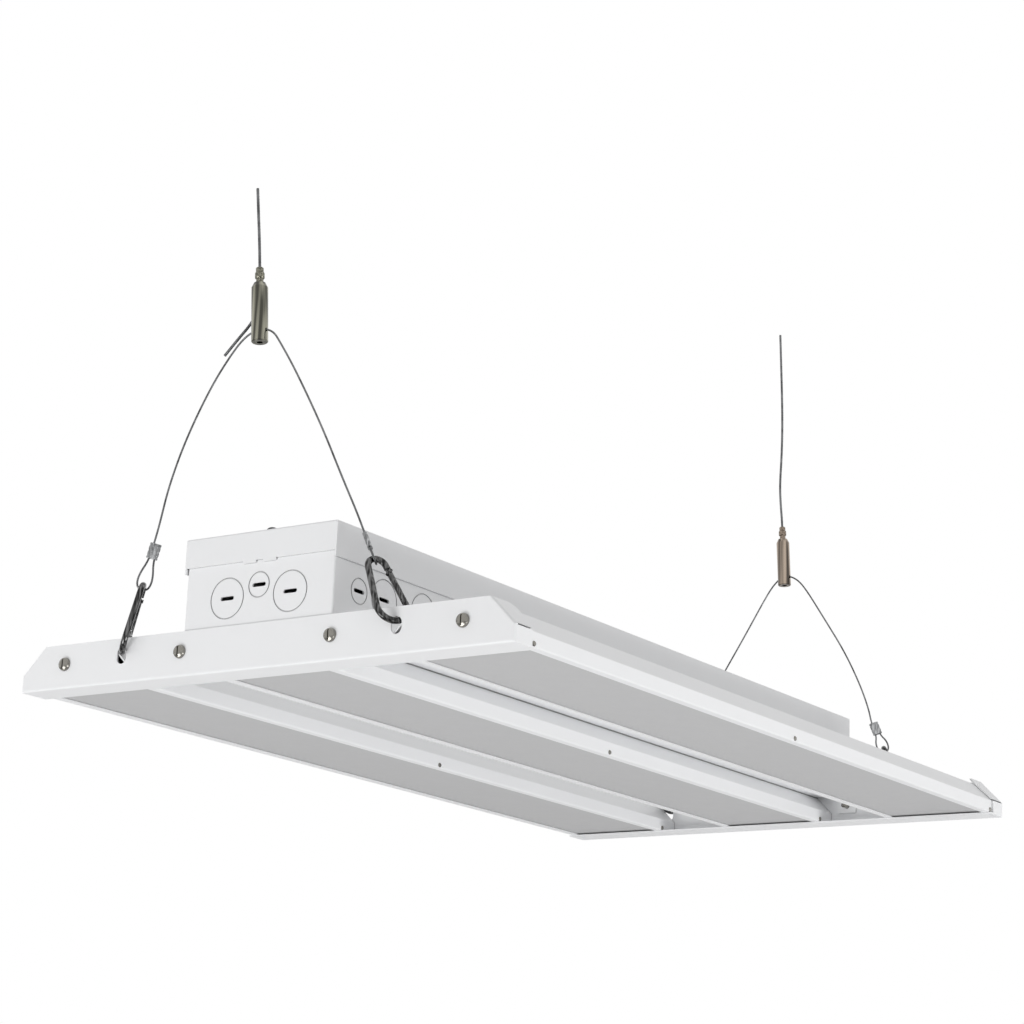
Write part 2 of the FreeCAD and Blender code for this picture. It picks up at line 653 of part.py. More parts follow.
def lens_screws(label, side):
    """Small screws through both walls of a bar into the lens's side walls."""
    up = mm("plate_sheet") + mm("lens_screw_height")
    screws = []
    for way in (LEFT, RIGHT):
        across = bar_place(side).value + way * mm("bar_width") / 2
        for along in lens_screw_places():
            screws.append(turned(
                [(0, -0.6), (0.8 * mm("lens_screw_head"), -0.6), (mm("lens_screw_head"), -0.25),
                 (mm("lens_screw_head"), 0), (mm("lens_screw_thread"), 0),
                 (mm("lens_screw_thread"), mm("lens_screw_length")), (0, mm("lens_screw_length"))],
                V(along.value, across, up), V(0, -way, 0)))
    return piece(label, Part.makeCompound(screws))


def led_board(label, side):
    body = new_body(label)
    top = size("plate_sheet") + size("bar_height") - size("bar_sheet")
    place(body, y=bar_place(side), z=top - size("board_thickness"))
    outline = new_sketch(body, "XY_Plane", "outline")
    reach, half = bar_length() / 2 - size("board_inset"), size("board_width") / 2
    draw_box(outline, (-reach, -half), (reach, half))
    pad(body, outline, size("board_thickness"))
    return body


def led_packages(label, side):
    """The row of LED packages under a board."""
    count = int(mm("led_count"))
    reach = bar_length().value / 2 - mm("board_inset")
    pitch = 2 * reach / count
    top = mm("plate_sheet") + mm("bar_height") - mm("bar_sheet") - mm("board_thickness")
    across = bar_place(side).value
    half = mm("led_size") / 2
    packages = [
        Part.makeBox(2 * half, 2 * half, mm("led_height"),
                     V((n + 0.5) * pitch - reach - half, across - half, top - mm("led_height")))
        for n in range(count)
    ]
    return piece(label, Part.makeCompound(packages))


def box_base():
    return size("plate_sheet") + size("bar_height")


def box_end():
    """Outer face of the box's end wall: just behind the end plate."""
    return size("fixture_length") / 2 - size("plate_sheet") - size("seat_gap")


def box_half():
    """Outer half width of the box under its lid."""
    return size("box_width") / 2 - size("box_sheet") - size("seat_gap")


def lid_underside():
    return size("box_height") - size("box_sheet") - size("seat_gap")


def knockouts(body, role, name, offset, places, reverse):
    """Grooves round the blanks, part way through the sheet, and a pry slot through each blank."""
    grooves = new_sketch(body, role, f"{name}_grooves", offset)
    slots = new_sketch(body, role, f"{name}_slots", offset)
    for across, up, radius in places:
        draw_circle(grooves, across, up, radius)
        draw_circle(grooves, across, up, radius - size("knockout_groove"))
        draw_round_slot(slots, across, up, size("pry_slot_length"), size("pry_slot_width"))
    cut(body, grooves, size("knockout_depth"), reverse=reverse)
    cut(body, slots, size("box_sheet") * 2, reverse=reverse)


def driver_box(label):
    """A folded tray: knock-outs, screwed ears at its lower corners and shelves for the lid's screws."""
    body = new_body(label)
    place(body, z=box_base())
    end, half, metal, top = box_end(), box_half(), size("box_sheet"), lid_underside()
    outline = new_sketch(body, "XY_Plane", "outline")
    draw_box(outline, (-end, -half), (end, half))
    pad(body, outline, top)
    round_edges(body, size("box_bend"), lambda edge: straight_edge(edge, V(0, 0, 1)) or edge.BoundBox.ZMax < 1e-3)
    inside = new_sketch(body, "XY_Plane", "inside", metal)
    draw_box(inside, (metal - end, metal - half), (end - metal, half - metal))
    cut(body, inside, top, reverse=True)

    for way in (NEAR, FAR):
        word = "near" if way == NEAR else "far"
        shelf = new_sketch(body, "XY_Plane", f"{word}_shelf", top)
        shelf_half = size("lid_shelf_width") / 2
        inner = way * (end - metal / 2)
        draw_box(shelf, (inner, -shelf_half), (way * (end - size("lid_shelf_depth")), shelf_half))
        draw_circle(shelf, way * lid_screw_place(), 0, size("screw_thread") + size("seat_gap"))
        pad(body, shelf, metal, reverse=True)
        for side in (LEFT, RIGHT):
            ear = new_sketch(body, "YZ_Plane", f"{word}_{'left' if side == LEFT else 'right'}_ear", way * end)
            inner_edge = size("screw_inner_place") - size("ear_width") / 2
            outer_edge = size("screw_inner_place") + size("ear_width") / 2
            draw_box(ear, (side * inner_edge, -size("ear_drop")), (side * outer_edge, metal * 2))
            draw_circle(ear, side * size("screw_inner_place"), size("screw_height") - box_base(),
                        size("screw_thread") + size("seat_gap"))
            pad(body, ear, metal, reverse=way == FAR)
        middle, aside = size("end_knockout_height"), size("end_knockout_place")
        knockouts(body, "YZ_Plane", f"{word}_end", way * end,
                  [(aside, middle, size("knockout_radius")), (-aside, middle, size("knockout_radius")),
                   (0, size("end_small_height"), size("small_knockout_radius"))], reverse=way == NEAR)
    up = size("side_knockout_height")
    knockouts(body, "XZ_Plane", "right_side", half,
              [(size("side_small_inset") - end, up, size("small_knockout_radius")),
               (size("side_first_inset") - end, up, size("knockout_radius")),
               (size("side_second_inset") - end, up, size("knockout_radius"))], reverse=False)
    base_holes = new_sketch(body, "XY_Plane", "base_holes")
    for along, across in box_screw_places():
        draw_circle(base_holes, along, across, size("screw_thread") + size("seat_gap"))
    cut(body, base_holes, metal * 2, reverse=True)
    return body


def lid_screw_place():
    return box_end() - size("lid_screw_inset")


def box_lid(label):
    """A folded cover: end flanges with two tongues each, and deeper side flanges."""
    body = new_body(label)
    place(body, z=box_base() + size("box_height"))
    metal, drop, side_drop = size("box_sheet"), size("lid_end_drop"), size("lid_side_drop")
    end = box_end() + size("seat_gap") + metal
    half = size("box_width") / 2
    outline = new_sketch(body, "XY_Plane", "outline")
    draw_box(outline, (-end, -half), (end, half))
    pad(body, outline, side_drop, reverse=True)
    round_edges(body, size("box_bend"), lambda edge: edge.BoundBox.ZMin > -1e-3)
    inside = new_sketch(body, "XY_Plane", "inside", -metal)
    draw_box(inside, (metal - end, metal - half), (end - metal, half - metal))
    cut(body, inside, side_drop)
    lower = new_sketch(body, "YZ_Plane", "end_edges")
    draw_box(lower, (metal - half, -side_drop - metal), (half - metal, -drop))
    cut(body, lower, 2 * (end + metal), both_ways=True)
    for way in (NEAR, FAR):
        tongues = new_sketch(body, "YZ_Plane", "near_tongues" if way == NEAR else "far_tongues", way * end)
        for side in (LEFT, RIGHT):
            near_edge = side * size("lid_tongue_place") - size("lid_tongue_width") / 2
            far_edge = side * size("lid_tongue_place") + size("lid_tongue_width") / 2
            draw_box(tongues, (near_edge, -drop - size("lid_tongue_drop")), (far_edge, metal - drop))
        pad(body, tongues, metal, reverse=way == FAR)
    holes = new_sketch(body, "XY_Plane", "screw_holes")
    for way in (NEAR, FAR):
        draw_circle(holes, way * lid_screw_place(), 0, size("screw_thread") + size("screw_play"))
    cut(body, holes, metal * 2)
    return body


def driver(label):
    """The power supply: a case with rounded long edges and a screwed foot at each end."""
    body = new_body(label)
    place(body, x=size("driver_place"), z=box_base() + size("box_sheet"))
    half_length, half, height = size("driver_length") / 2, size("driver_width") / 2, size("driver_height")
    section = new_sketch(body, "YZ_Plane", "section")
    draw_box(section, (-half, 0), (half, height))
    pad(body, section, 2 * half_length, both_ways=True)
    round_edges(body, size("driver_foot_sheet"),
                lambda edge: straight_edge(edge, V(1, 0, 0)) and edge.BoundBox.ZMin > height.value / 2)
    feet = new_sketch(body, "XY_Plane", "feet")
    reach = half_length + size("driver_foot")
    draw_box(feet, (-reach, -half), (reach, half))
    for way in (NEAR, FAR):
        draw_circle(feet, way * driver_hole_reach(), 0, size("screw_thread") + size("screw_play"))
    pad(body, feet, size("driver_foot_sheet"))
    return body


def driver_hole_reach():
    return size("driver_length") / 2 + size("driver_foot") / 2


def terminal_block(label):
    """A three-way block with a wire entry in each face for each way."""
    body = new_body(label)
    place(body, x=size("terminal_place"), z=box_base() + size("box_sheet"))
    length, half, height = size("terminal_length"), size("terminal_width") / 2, size("terminal_height")
    outline = new_sketch(body, "XY_Plane", "outline")
    draw_box(outline, (-half, -length / 2), (half, length / 2))
    pad(body, outline, height)
    for way in (NEAR, FAR):
        entries = new_sketch(body, "YZ_Plane", "near_entries" if way == NEAR else "far_entries", way * half)
        for step in (-1, 0, 1):
            draw_circle(entries, step * size("terminal_entry_pitch"), height / 2, size("terminal_entry_radius"))
        cut(body, entries, size("terminal_entry_depth") / 2, reverse=way == NEAR)
    return body


def fixture_screws():
    """Every group of like screws of the fixture, each group one node of separate screws."""
    head, head_height, thread = mm("screw_head"), mm("screw_head_height"), mm("screw_thread")
    for word, end in (("near", NEAR), ("far", FAR)):
        places = [V(end * mm("fixture_length") / 2, side * mm(name), mm("screw_height"))
                  for side in (LEFT, RIGHT) for name in ("screw_inner_place", "screw_outer_place")]
        piece(f"plate_screws_{word}", Part.makeCompound([
            pan_screw(spot, V(-end, 0, 0), head, head_height, thread, mm("screw_length")) for spot in places]))
    lid_top = (box_base() + size("box_height")).value
    piece("lid_screws", Part.makeCompound([
        pan_screw(V(way * lid_screw_place().value, 0, lid_top), V(0, 0, -1), head, head_height, thread,
                  mm("short_screw_length")) for way in (NEAR, FAR)]))
    under_bar = mm("plate_sheet") + mm("bar_height") - mm("bar_sheet")
    piece("box_to_bar_screws", Part.makeCompound([
        pan_screw(V(along.value, across.value, under_bar), V(0, 0, 1), head, head_height, thread,
                  mm("short_screw_length")) for along, across in box_screw_places()]))


# ---------------------------------------------------------------- the hangers


def plate_middle(end):
    """X of the middle of an end plate's sheet, where the hooks hang."""
    return end * (mm("fixture_length") - mm("plate_sheet")) / 2


class HookStance:
    """Where a snap hook hangs: its foot, and its own up, across and through directions."""

    def __init__(self, end, side):
        self.word = f"{'near' if end == NEAR else 'far'}_{'left' if side == LEFT else 'right'}"
        lean, turn = math.radians(mm(f"{self.word}_lean")), math.radians(mm(f"{self.word}_turn"))
        foot_height = mm("slot_top") - mm("hook_seat") - mm("hook_wire")
        self.foot = V(plate_middle(end), side * mm("slot_place"), foot_height)
        self.up = V(0, -side * math.sin(lean), math.cos(lean))
        level = V(0, math.cos(lean), side * math.sin(lean))
        self.across = V(-end * math.cos(turn), 0, 0) + level * math.sin(turn)
        self.through = self.up.cross(self.across)
        self.ferrule_foot = mm(f"{self.word}_ferrule")

    def spot(self, across, up, through=0.0):
        return self.foot + self.across * across + self.up * up + self.through * through

    def placement(self):
        matrix = FreeCAD.Matrix(self.across.x, self.through.x, self.up.x, self.foot.x,
                                self.across.y, self.through.y, self.up.y, self.foot.y,
                                self.across.z, self.through.z, self.up.z, self.foot.z, 0, 0, 0, 1)
        return FreeCAD.Placement(matrix)


class HookOutline:
    """The snap hook's centreline in its own plane: a wide bend below, a narrow one above."""

    def __init__(self):
        wire = mm("hook_wire")
        self.wide = mm("hook_width") / 2 - wire
        self.narrow = mm("hook_top_width") / 2 - wire
        self.top = mm("hook_length") - 2 * wire
        rise = self.top - self.narrow - self.wide
        self.taper = math.asin((self.wide - self.narrow) / rise)
        out, lift = math.cos(self.taper), math.sin(self.taper)
        self.nose = V(self.wide * out, 0, self.wide + self.wide * lift)
        self.shoulder = V(self.narrow * out, 0, self.top - self.narrow + self.narrow * lift)
        self.down = (self.nose - self.shoulder).normalize()
        self.pivot = self.shoulder + self.down * mm("gate_pivot_drop")
        self.gate_length = (self.nose - self.pivot).Length - mm("gate_gap")

    def path(self):
        """From the nose round the wide bend, up the spine and round the narrow bend to the gate."""
        spine_foot, spine_head = V(-self.nose.x, 0, self.nose.z), V(-self.shoulder.x, 0, self.shoulder.z)
        end = self.pivot - self.down * (mm("gate_radius") + mm("gate_gap"))
        return Part.Wire([
            Part.Arc(self.nose, V(0, 0, 0), spine_foot).toShape(),
            Part.LineSegment(spine_foot, spine_head).toShape(),
            Part.Arc(spine_head, V(0, 0, self.top), self.shoulder).toShape(),
            Part.LineSegment(self.shoulder, end).toShape(),
        ])

    def slab(self, middle, reach, thickness, half_width):
        """A flat block about a point of the gate's line, reach long each way, in the hook's plane."""
        block = Part.makeBox(2 * half_width, thickness, 2 * reach, V(-half_width, -thickness / 2, -reach))
        block.Placement = FreeCAD.Placement(middle, FreeCAD.Rotation(V(0, 0, 1), self.down))
        return block

    def barrel(self, radius, height, middle):
        """A cylinder across the hook's plane, about a point of it."""
        return Part.makeCylinder(radius, height, middle - V(0, height / 2, 0), V(0, 1, 0))


def hook_wire(label, stance, outline):
    """The bent wire of a snap hook, with its two ends flattened to tongues."""
    wire, flat = mm("hook_wire"), mm("tongue_thickness")
    bent = swept_round(outline.path(), wire)
    end = outline.pivot - outline.down * (mm("gate_radius") + mm("gate_gap"))
    reach = (outline.pivot - end).Length
    pivot_tongue = outline.slab((outline.pivot + end) * 0.5, reach / 2 + 0.2, flat, mm("rivet_head") + 0.2)
    pivot_eye = outline.barrel(mm("rivet_head") + 0.2, flat, outline.pivot)
    nose_reach = mm("tongue_reach")
    nose_tongue = outline.slab(outline.nose - outline.down * (nose_reach / 2 - 0.2), nose_reach / 2 + 0.2, flat,
                               wire * 0.7)
    shape = bent.fuse([pivot_tongue, pivot_eye, nose_tongue]).removeSplitter()
    shape = shape.cut(outline.barrel(mm("rivet_radius"), 4 * wire, outline.pivot))
    shape.Placement = stance.placement()
    return piece(label, shape)


def hook_gate(label, stance, outline):
    """The sprung gate: a round bar, slotted at both ends over the hook's tongues."""
    radius, length = mm("gate_radius"), outline.gate_length
    play = mm("tongue_play")
    bar = Part.makeCylinder(radius, length, outline.pivot, outline.down)
    bar = bar.fuse(Part.makeSphere(radius, outline.pivot))
    slot = mm("tongue_thickness") + 2 * play
    eye = mm("rivet_head") + 0.2
    pivot_slot = outline.slab(outline.pivot, eye + 0.5, slot, 2 * radius)
    end = outline.pivot + outline.down * length
    nose_slot = outline.slab(end, mm("tongue_reach") + 0.2, slot, 2 * radius)
    bore = outline.barrel(mm("rivet_radius") + mm("rivet_play"), 4 * radius, outline.pivot)
    crown = outline.slab(outline.pivot - outline.down * radius * 1.5, radius / 2, 3 * radius, 2 * radius)
    shape = bar.cut([pivot_slot, nose_slot, bore, crown])
    shape.Placement = stance.placement()
    return piece(label, shape)


def gate_rivet(stance, outline):
    """The rivet that the gate turns on, with a low head at each cheek."""
    cheek = mm("gate_radius") + mm("rivet_play")
    shank = outline.barrel(mm("rivet_radius"), 2 * cheek, outline.pivot)
    heads = [outline.barrel(mm("rivet_head"), mm("rivet_head_height"),
                            outline.pivot + V(0, way * (cheek + mm("rivet_head_height") / 2), 0))
             for way in (LEFT, RIGHT)]
    shape = shank.fuse(heads)
    shape.Placement = stance.placement()
    return shape


def ferrule(stance):
    """A double-barrel ferrule: two round barrels joined by a waist, with a lane for each wire."""
    lane, radius, length = mm("ferrule_lane"), mm("ferrule_radius"), mm("ferrule_length")
    waist = mm("ferrule_waist")
    barrels = [Part.makeCylinder(radius, length, V(0, way * lane, 0)) for way in (LEFT, RIGHT)]
    block = Part.makeBox(2 * waist, 2 * lane, length, V(-waist, -lane, 0))
    lanes = [Part.makeCylinder(mm("bridle_wire") + mm("ferrule_fit"), length, V(0, way * lane, 0))
             for way in (LEFT, RIGHT)]
    shape = barrels[0].fuse([barrels[1], block]).cut(lanes)
    shape.Placement = FreeCAD.Placement(V(0, 0, 0), FreeCAD.Rotation())
    lifted = stance.placement()
    lifted.Base = stance.spot(0, stance.ferrule_foot)
    shape.Placement = lifted
    return shape


def loop_points(stance):
    """One end of a bridle: from its cut end in the ferrule, round the hook's top and back up."""
    lane, foot, top = mm("ferrule_lane"), stance.ferrule_foot, HookOutline().top
    head = foot + mm("ferrule_length")
    bend = [(lane, head - 0.8), (lane, foot - 0.6), (LOOP_SHOULDER[0], top + LOOP_SHOULDER[1]),
            (LOOP_FLANK[0], top + LOOP_FLANK[1]), (0, top + LOOP_FOOT)]
    back = [(-through, up) for through, up in reversed(bend[1:-1])]
    return [stance.spot(0, up, through) for through, up in bend + back + [(-lane, head + 0.6)]]


def bridle_points(end):
    """A bridle wire from loop to loop, through its gripper."""
    plane = plate_middle(end)
    halves = []
    for side in (LEFT, RIGHT):
        legs = [V(plane, across, up) for across, up in BRIDLE_LEGS[end, side]]
        halves.append(loop_points(HookStance(end, side)) + legs)
    crossing = V(plane, *BRIDLE_CROSSING[end])
    return halves[0] + [crossing] + halves[1][::-1]


def main_points(end):
    return [V(plate_middle(end) + out, across, up) for out, across, up in MAIN_WIRES[end]]


def gripper_axis(end):
    """The foot of a gripper and the direction of its axis."""
    lean = math.radians(mm("near_gripper_lean" if end == NEAR else "far_gripper_lean"))
    return V(plate_middle(end), *GRIPPER_FOOT[end]), V(0, math.sin(lean), math.cos(lean))


def gripper(word, end):
    """The turned body with its channels, and inside it the sprung nipple with its balls."""
    foot, axis = gripper_axis(end)
    stand = FreeCAD.Placement(foot, FreeCAD.Rotation(V(0, 0, 1), axis))
    radius, length = size("gripper_radius"), size("gripper_length")
    bore = size("nipple_neck") + size("nipple_play")
    body = new_body(f"gripper_blank_{word}")
    profile = new_sketch(body, "XZ_Plane", "profile")
    draw(profile, [
        (size("gripper_hole"), 0), (radius - size("gripper_edge"), 0), (radius, size("gripper_edge")),
        (radius, length - size("gripper_shoulder_height")), (radius - size("gripper_shoulder"), length),
        (bore, length), (bore, size("cone_end")), (size("chamber_radius"), size("cone_start")),
        (size("chamber_radius"), size("chamber_floor")), (0, size("chamber_floor")),
        (0, size("gripper_hole_depth")), (size("gripper_hole"), size("gripper_hole_depth"))])
    turn = body.newObject("PartDesign::Revolution", f"gripper_turned_{word}")
    turn.Profile = profile
    turn.ReferenceAxis = (profile, ["V_Axis"])
    turn.Angle = 360
    body.Placement = stand

    main, bridle = main_points(end), bridle_points(end)
    crossing = bridle.index(V(plate_middle(end), *BRIDLE_CROSSING[end]))
    play = mm("wire_channel")
    channels = [tube(main[:5], mm("main_wire") + play)[0],
                tube(bridle[crossing - 2:crossing + 3], mm("bridle_wire") + play)[0]]
    drill = piece(f"gripper_channels_{word}", Part.makeCompound(channels))
    drilled = DOC.addObject("Part::Cut", f"gripper_body_{word}")
    drilled.Label = f"gripper_body_{word}"
    drilled.Base = body
    drilled.Tool = drill

    neck, bore_wall = mm("nipple_neck"), mm("nipple_bore")
    collar = mm("chamber_radius") - mm("collar_play")
    collar_foot = mm("cone_start") - mm("collar_height") - mm("collar_play")
    ring_foot = mm("gripper_length") + mm("nipple_stroke")
    ring_top = ring_foot + mm("nipple_ring")
    crown = ring_top + mm("nipple_crown")
    nipple = turned([
        (bore_wall, collar_foot), (collar, collar_foot), (collar, collar_foot + mm("collar_height")),
        (neck, collar_foot + mm("collar_height")), (neck, ring_foot), (mm("nipple_grip") - 0.4, ring_foot),
        (mm("nipple_grip"), ring_foot + 0.5), (mm("nipple_grip"), ring_top - 0.5),
        (mm("nipple_top"), ring_top), (mm("nipple_top"), crown - 0.5), (mm("nipple_top") - 0.5, crown),
        (bore_wall, crown)])
    ball_circle = mm("main_wire") + mm("ball_play") + mm("ball_radius")
    spots = [V(ball_circle * math.cos(math.radians(n * 120)), ball_circle * math.sin(math.radians(n * 120)),
               mm("ball_height")) for n in range(3)]
    windows = [Part.makeSphere(mm("ball_radius") + mm("rivet_play"), spot) for spot in spots]
    nipple = nipple.cut(windows)
    nipple.Placement = stand
    piece(f"release_nipple_{word}", nipple)
    balls = Part.makeCompound([Part.makeSphere(mm("ball_radius"), spot) for spot in spots])
    balls.Placement = stand
    piece(f"clamping_balls_{word}", balls)
    outer = collar - mm("collar_play")
    spring = turned([
        (outer - mm("spring_wall"), mm("chamber_floor") + 0.01), (outer, mm("chamber_floor") + 0.01),
        (outer, collar_foot - 0.01), (outer - mm("spring_wall"), collar_foot - 0.01)])
    spring.Placement = stand
    piece(f"clamping_spring_{word}", spring)


def hanger(word, end):
    gripper(word, end)
    wire_piece(f"main_wire_{word}", main_points(end), mm("main_wire"))
    wire_piece(f"bridle_wire_{word}", bridle_points(end), mm("bridle_wire"))
    outline = HookOutline()
    stances = {side: HookStance(end, side) for side in (LEFT, RIGHT)}
    for stance in stances.values():
        hook_wire(f"snap_hook_{stance.word}", stance, outline)
        hook_gate(f"hook_gate_{stance.word}", stance, outline)
    piece(f"gate_rivets_{word}", Part.makeCompound([gate_rivet(each, outline) for each in stances.values()]))
    piece(f"ferrules_{word}", Part.makeCompound([ferrule(each) for each in stances.values()]))
    for stance in stances.values():
        pivot = stance.placement().multVec(outline.pivot)
        print(f"gate {stance.word}: pivot {tuple(round(c, 3) for c in pivot)}, "
              f"axis {tuple(round(c, 5) for c in stance.through)}")
    print(f"gripper {word}: axis {tuple(round(c, 5) for c in gripper_axis(end)[1])}")


def build():
    fill_sheet()
    for word, end in (("near", NEAR), ("far", FAR)):
        end_plate(f"end_plate_{word}", end)
    for word, side in (("left", 1), ("middle", 0), ("right", -1)):
        bar_tray(f"bar_tray_{word}", side)
        lens(f"lens_{word}", side)
        lens_screws(f"lens_screws_{word}", side)
        led_board(f"led_board_{word}", side)
        led_packages(f"led_packages_{word}", side)
    driver_box("driver_box")
    box_lid("driver_box_lid")
    driver("driver")
    terminal_block("terminal_block")
    fixture_screws()
    for word, end in (("near", NEAR), ("far", FAR)):
        hanger(word, end)
    DOC.recompute()


def sub_parts():
    """Every object that is a piece of its own: not a tool of a cut, nor a feature inside a body."""
    used = {each.Base for each in DOC.Objects if each.isDerivedFrom("Part::Cut")}
    used |= {each.Tool for each in DOC.Objects if each.isDerivedFrom("Part::Cut")}
    kinds = ("PartDesign::Body", "Part::Cut", "Part::Feature")
    return [each for each in DOC.Objects if each.TypeId in kinds and each not in used]


def check_and_write():
    for each in DOC.Objects:
        if {"Invalid", "Error"} & set(each.State):
            raise RuntimeError(f"{each.Label} failed")
    os.makedirs("parts", exist_ok=True)
    for part in sub_parts():
        if part.Shape.isNull() or not part.Shape.isValid():
            raise RuntimeError(f"{part.Label} has no sound shape")
        part.Shape.exportStep(f"parts/{part.Label}.step")
    print(len(sub_parts()), "sub-parts")


build()
check_and_write()
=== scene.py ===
import json
import math

import bpy
import numpy as np
from bpy.props import FloatProperty, FloatVectorProperty, IntProperty, PointerProperty
from mathutils import Matrix, Vector


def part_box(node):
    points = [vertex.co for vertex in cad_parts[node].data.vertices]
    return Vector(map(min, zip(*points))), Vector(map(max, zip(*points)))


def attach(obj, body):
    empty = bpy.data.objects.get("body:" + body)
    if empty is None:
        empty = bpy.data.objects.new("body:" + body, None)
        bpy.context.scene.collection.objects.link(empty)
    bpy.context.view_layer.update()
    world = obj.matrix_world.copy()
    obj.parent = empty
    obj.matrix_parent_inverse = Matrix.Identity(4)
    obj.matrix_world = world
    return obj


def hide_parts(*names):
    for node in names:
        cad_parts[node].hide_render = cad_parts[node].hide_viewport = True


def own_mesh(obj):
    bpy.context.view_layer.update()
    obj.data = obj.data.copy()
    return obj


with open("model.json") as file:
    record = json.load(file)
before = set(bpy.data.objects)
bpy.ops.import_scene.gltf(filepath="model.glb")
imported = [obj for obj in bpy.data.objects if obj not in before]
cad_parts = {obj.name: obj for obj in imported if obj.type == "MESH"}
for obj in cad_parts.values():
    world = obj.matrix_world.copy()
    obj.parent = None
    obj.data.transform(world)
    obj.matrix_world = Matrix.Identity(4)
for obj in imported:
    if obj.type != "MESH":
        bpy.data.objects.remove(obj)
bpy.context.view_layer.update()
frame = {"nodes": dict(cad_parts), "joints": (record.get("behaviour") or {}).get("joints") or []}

bl_info = {
    "name": "High bay light",
    "version": (1, 0, 0),
    "blender": (4, 5, 0),
    "location": "View3D > Sidebar > High Bay",
    "description": "Dresses a suspended high bay light: coated sheet, frosted lenses, wire ropes and "
                   "plated fittings",
    "category": "Object",
}

ENDS = ("near", "far")
SIDES = ("left", "right")
BARS = ("left", "middle", "right")


# ---------------------------------------------------------------- settings


def colour(name, description, default):
    return FloatVectorProperty(name=name, description=description, subtype="COLOR", size=3, min=0, max=1,
                               default=default)


def length(name, description, default):
    return FloatProperty(name=name, description=description, subtype="DISTANCE", unit="LENGTH", precision=5,
                         default=default)


def share(name, description, default):
    return FloatProperty(name=name, description=description, subtype="FACTOR", min=0, max=1, default=default)


class StageSettings(bpy.types.PropertyGroup):
    """Camera, floor and lamps."""

    eye: FloatVectorProperty(name="Eye", description="Where the camera stands", subtype="TRANSLATION",
                             unit="LENGTH", size=3, default=(-1.2962, -0.8432, -0.2668))
    heading: FloatProperty(name="Heading", description="Camera's heading from +X towards +Y", subtype="ANGLE",
                           default=math.radians(34.24))
    climb: FloatProperty(name="Climb", description="Camera's tilt above the horizon", subtype="ANGLE",
                         default=math.radians(15.15))
    roll: FloatProperty(name="Roll", description="Camera's roll", subtype="ANGLE", default=math.radians(2.32))
    lens: FloatProperty(name="Lens", description="Focal length in millimetres on a 36 mm sensor",
                        default=92.58)
    floor_height: length("Floor height", "Height of the floor under the light", -1.1)
    floor_size: length("Floor size", "Width of the floor", 14.0)
    floor_colour: colour("Floor", "Colour of the floor", (0.86, 0.86, 0.86))
    sky_low: FloatProperty(name="Low sky", description="Strength of the sky near the horizon", default=0.8)
    sky_high: FloatProperty(name="High sky", description="Strength of the sky overhead", default=0.34)
    key_power: FloatProperty(name="Key lamp", description="Watts of the lamp low at the near end",
                             default=16.0)
    side_power: FloatProperty(name="Side lamp", description="Watts of the lamp low at the right",
                              default=19.0)


class FixtureSettings(bpy.types.PropertyGroup):
    """Finish of the fixture's own pieces."""

    coating: colour("Powder coat", "Colour of the coated sheet", (0.885, 0.89, 0.9))
    coating_roughness: share("Powder coat roughness", "Roughness of the coated sheet", 0.38)
    peel: length("Orange peel", "Size of the coating's orange peel", 0.0011)
    lens_colour: colour("Lens", "Colour of the frosted lenses", (0.525, 0.525, 0.53))
    lens_roughness: share("Lens roughness", "Roughness of the frosted lenses", 0.42)
    lens_wall: length("Lens wall", "Wall of a lens", 0.002)
    lens_rise: length("Lens rise", "Height of a lens's panel over its feet", 0.0002)
    # Reach and brightness of the painted shade that darkens the coat's colour in seams and grooves.
    seam: length("Seam", "How far from a seam or a groove the coat lies in shade", 0.0012)
    painted_seam_shade: share("Seam shade", "Brightness of the coat inside a seam", 0.4)
    lid_screw_height: length("Lid screw", "Height of the lid screws' domed heads", 0.0034)
    lid_screw_thread: length("Lid screw thread", "Radius of the lid screws' threads", 0.00175)
    board: colour("LED board", "Colour of the solder mask", (0.88, 0.88, 0.86))
    phosphor: colour("Phosphor", "Colour of the LED packages", (0.93, 0.76, 0.22))
    driver: colour("Driver case", "Colour of the driver's case", (0.72, 0.73, 0.74))
    terminal: colour("Terminal block", "Colour of the terminal block", (0.80, 0.79, 0.76))
    screw: colour("Screws", "Colour of the nickel-plated screws", (0.25, 0.24, 0.215))
    dark_screw: colour("Lid screws", "Colour of the lid's screws", (0.055, 0.055, 0.06))


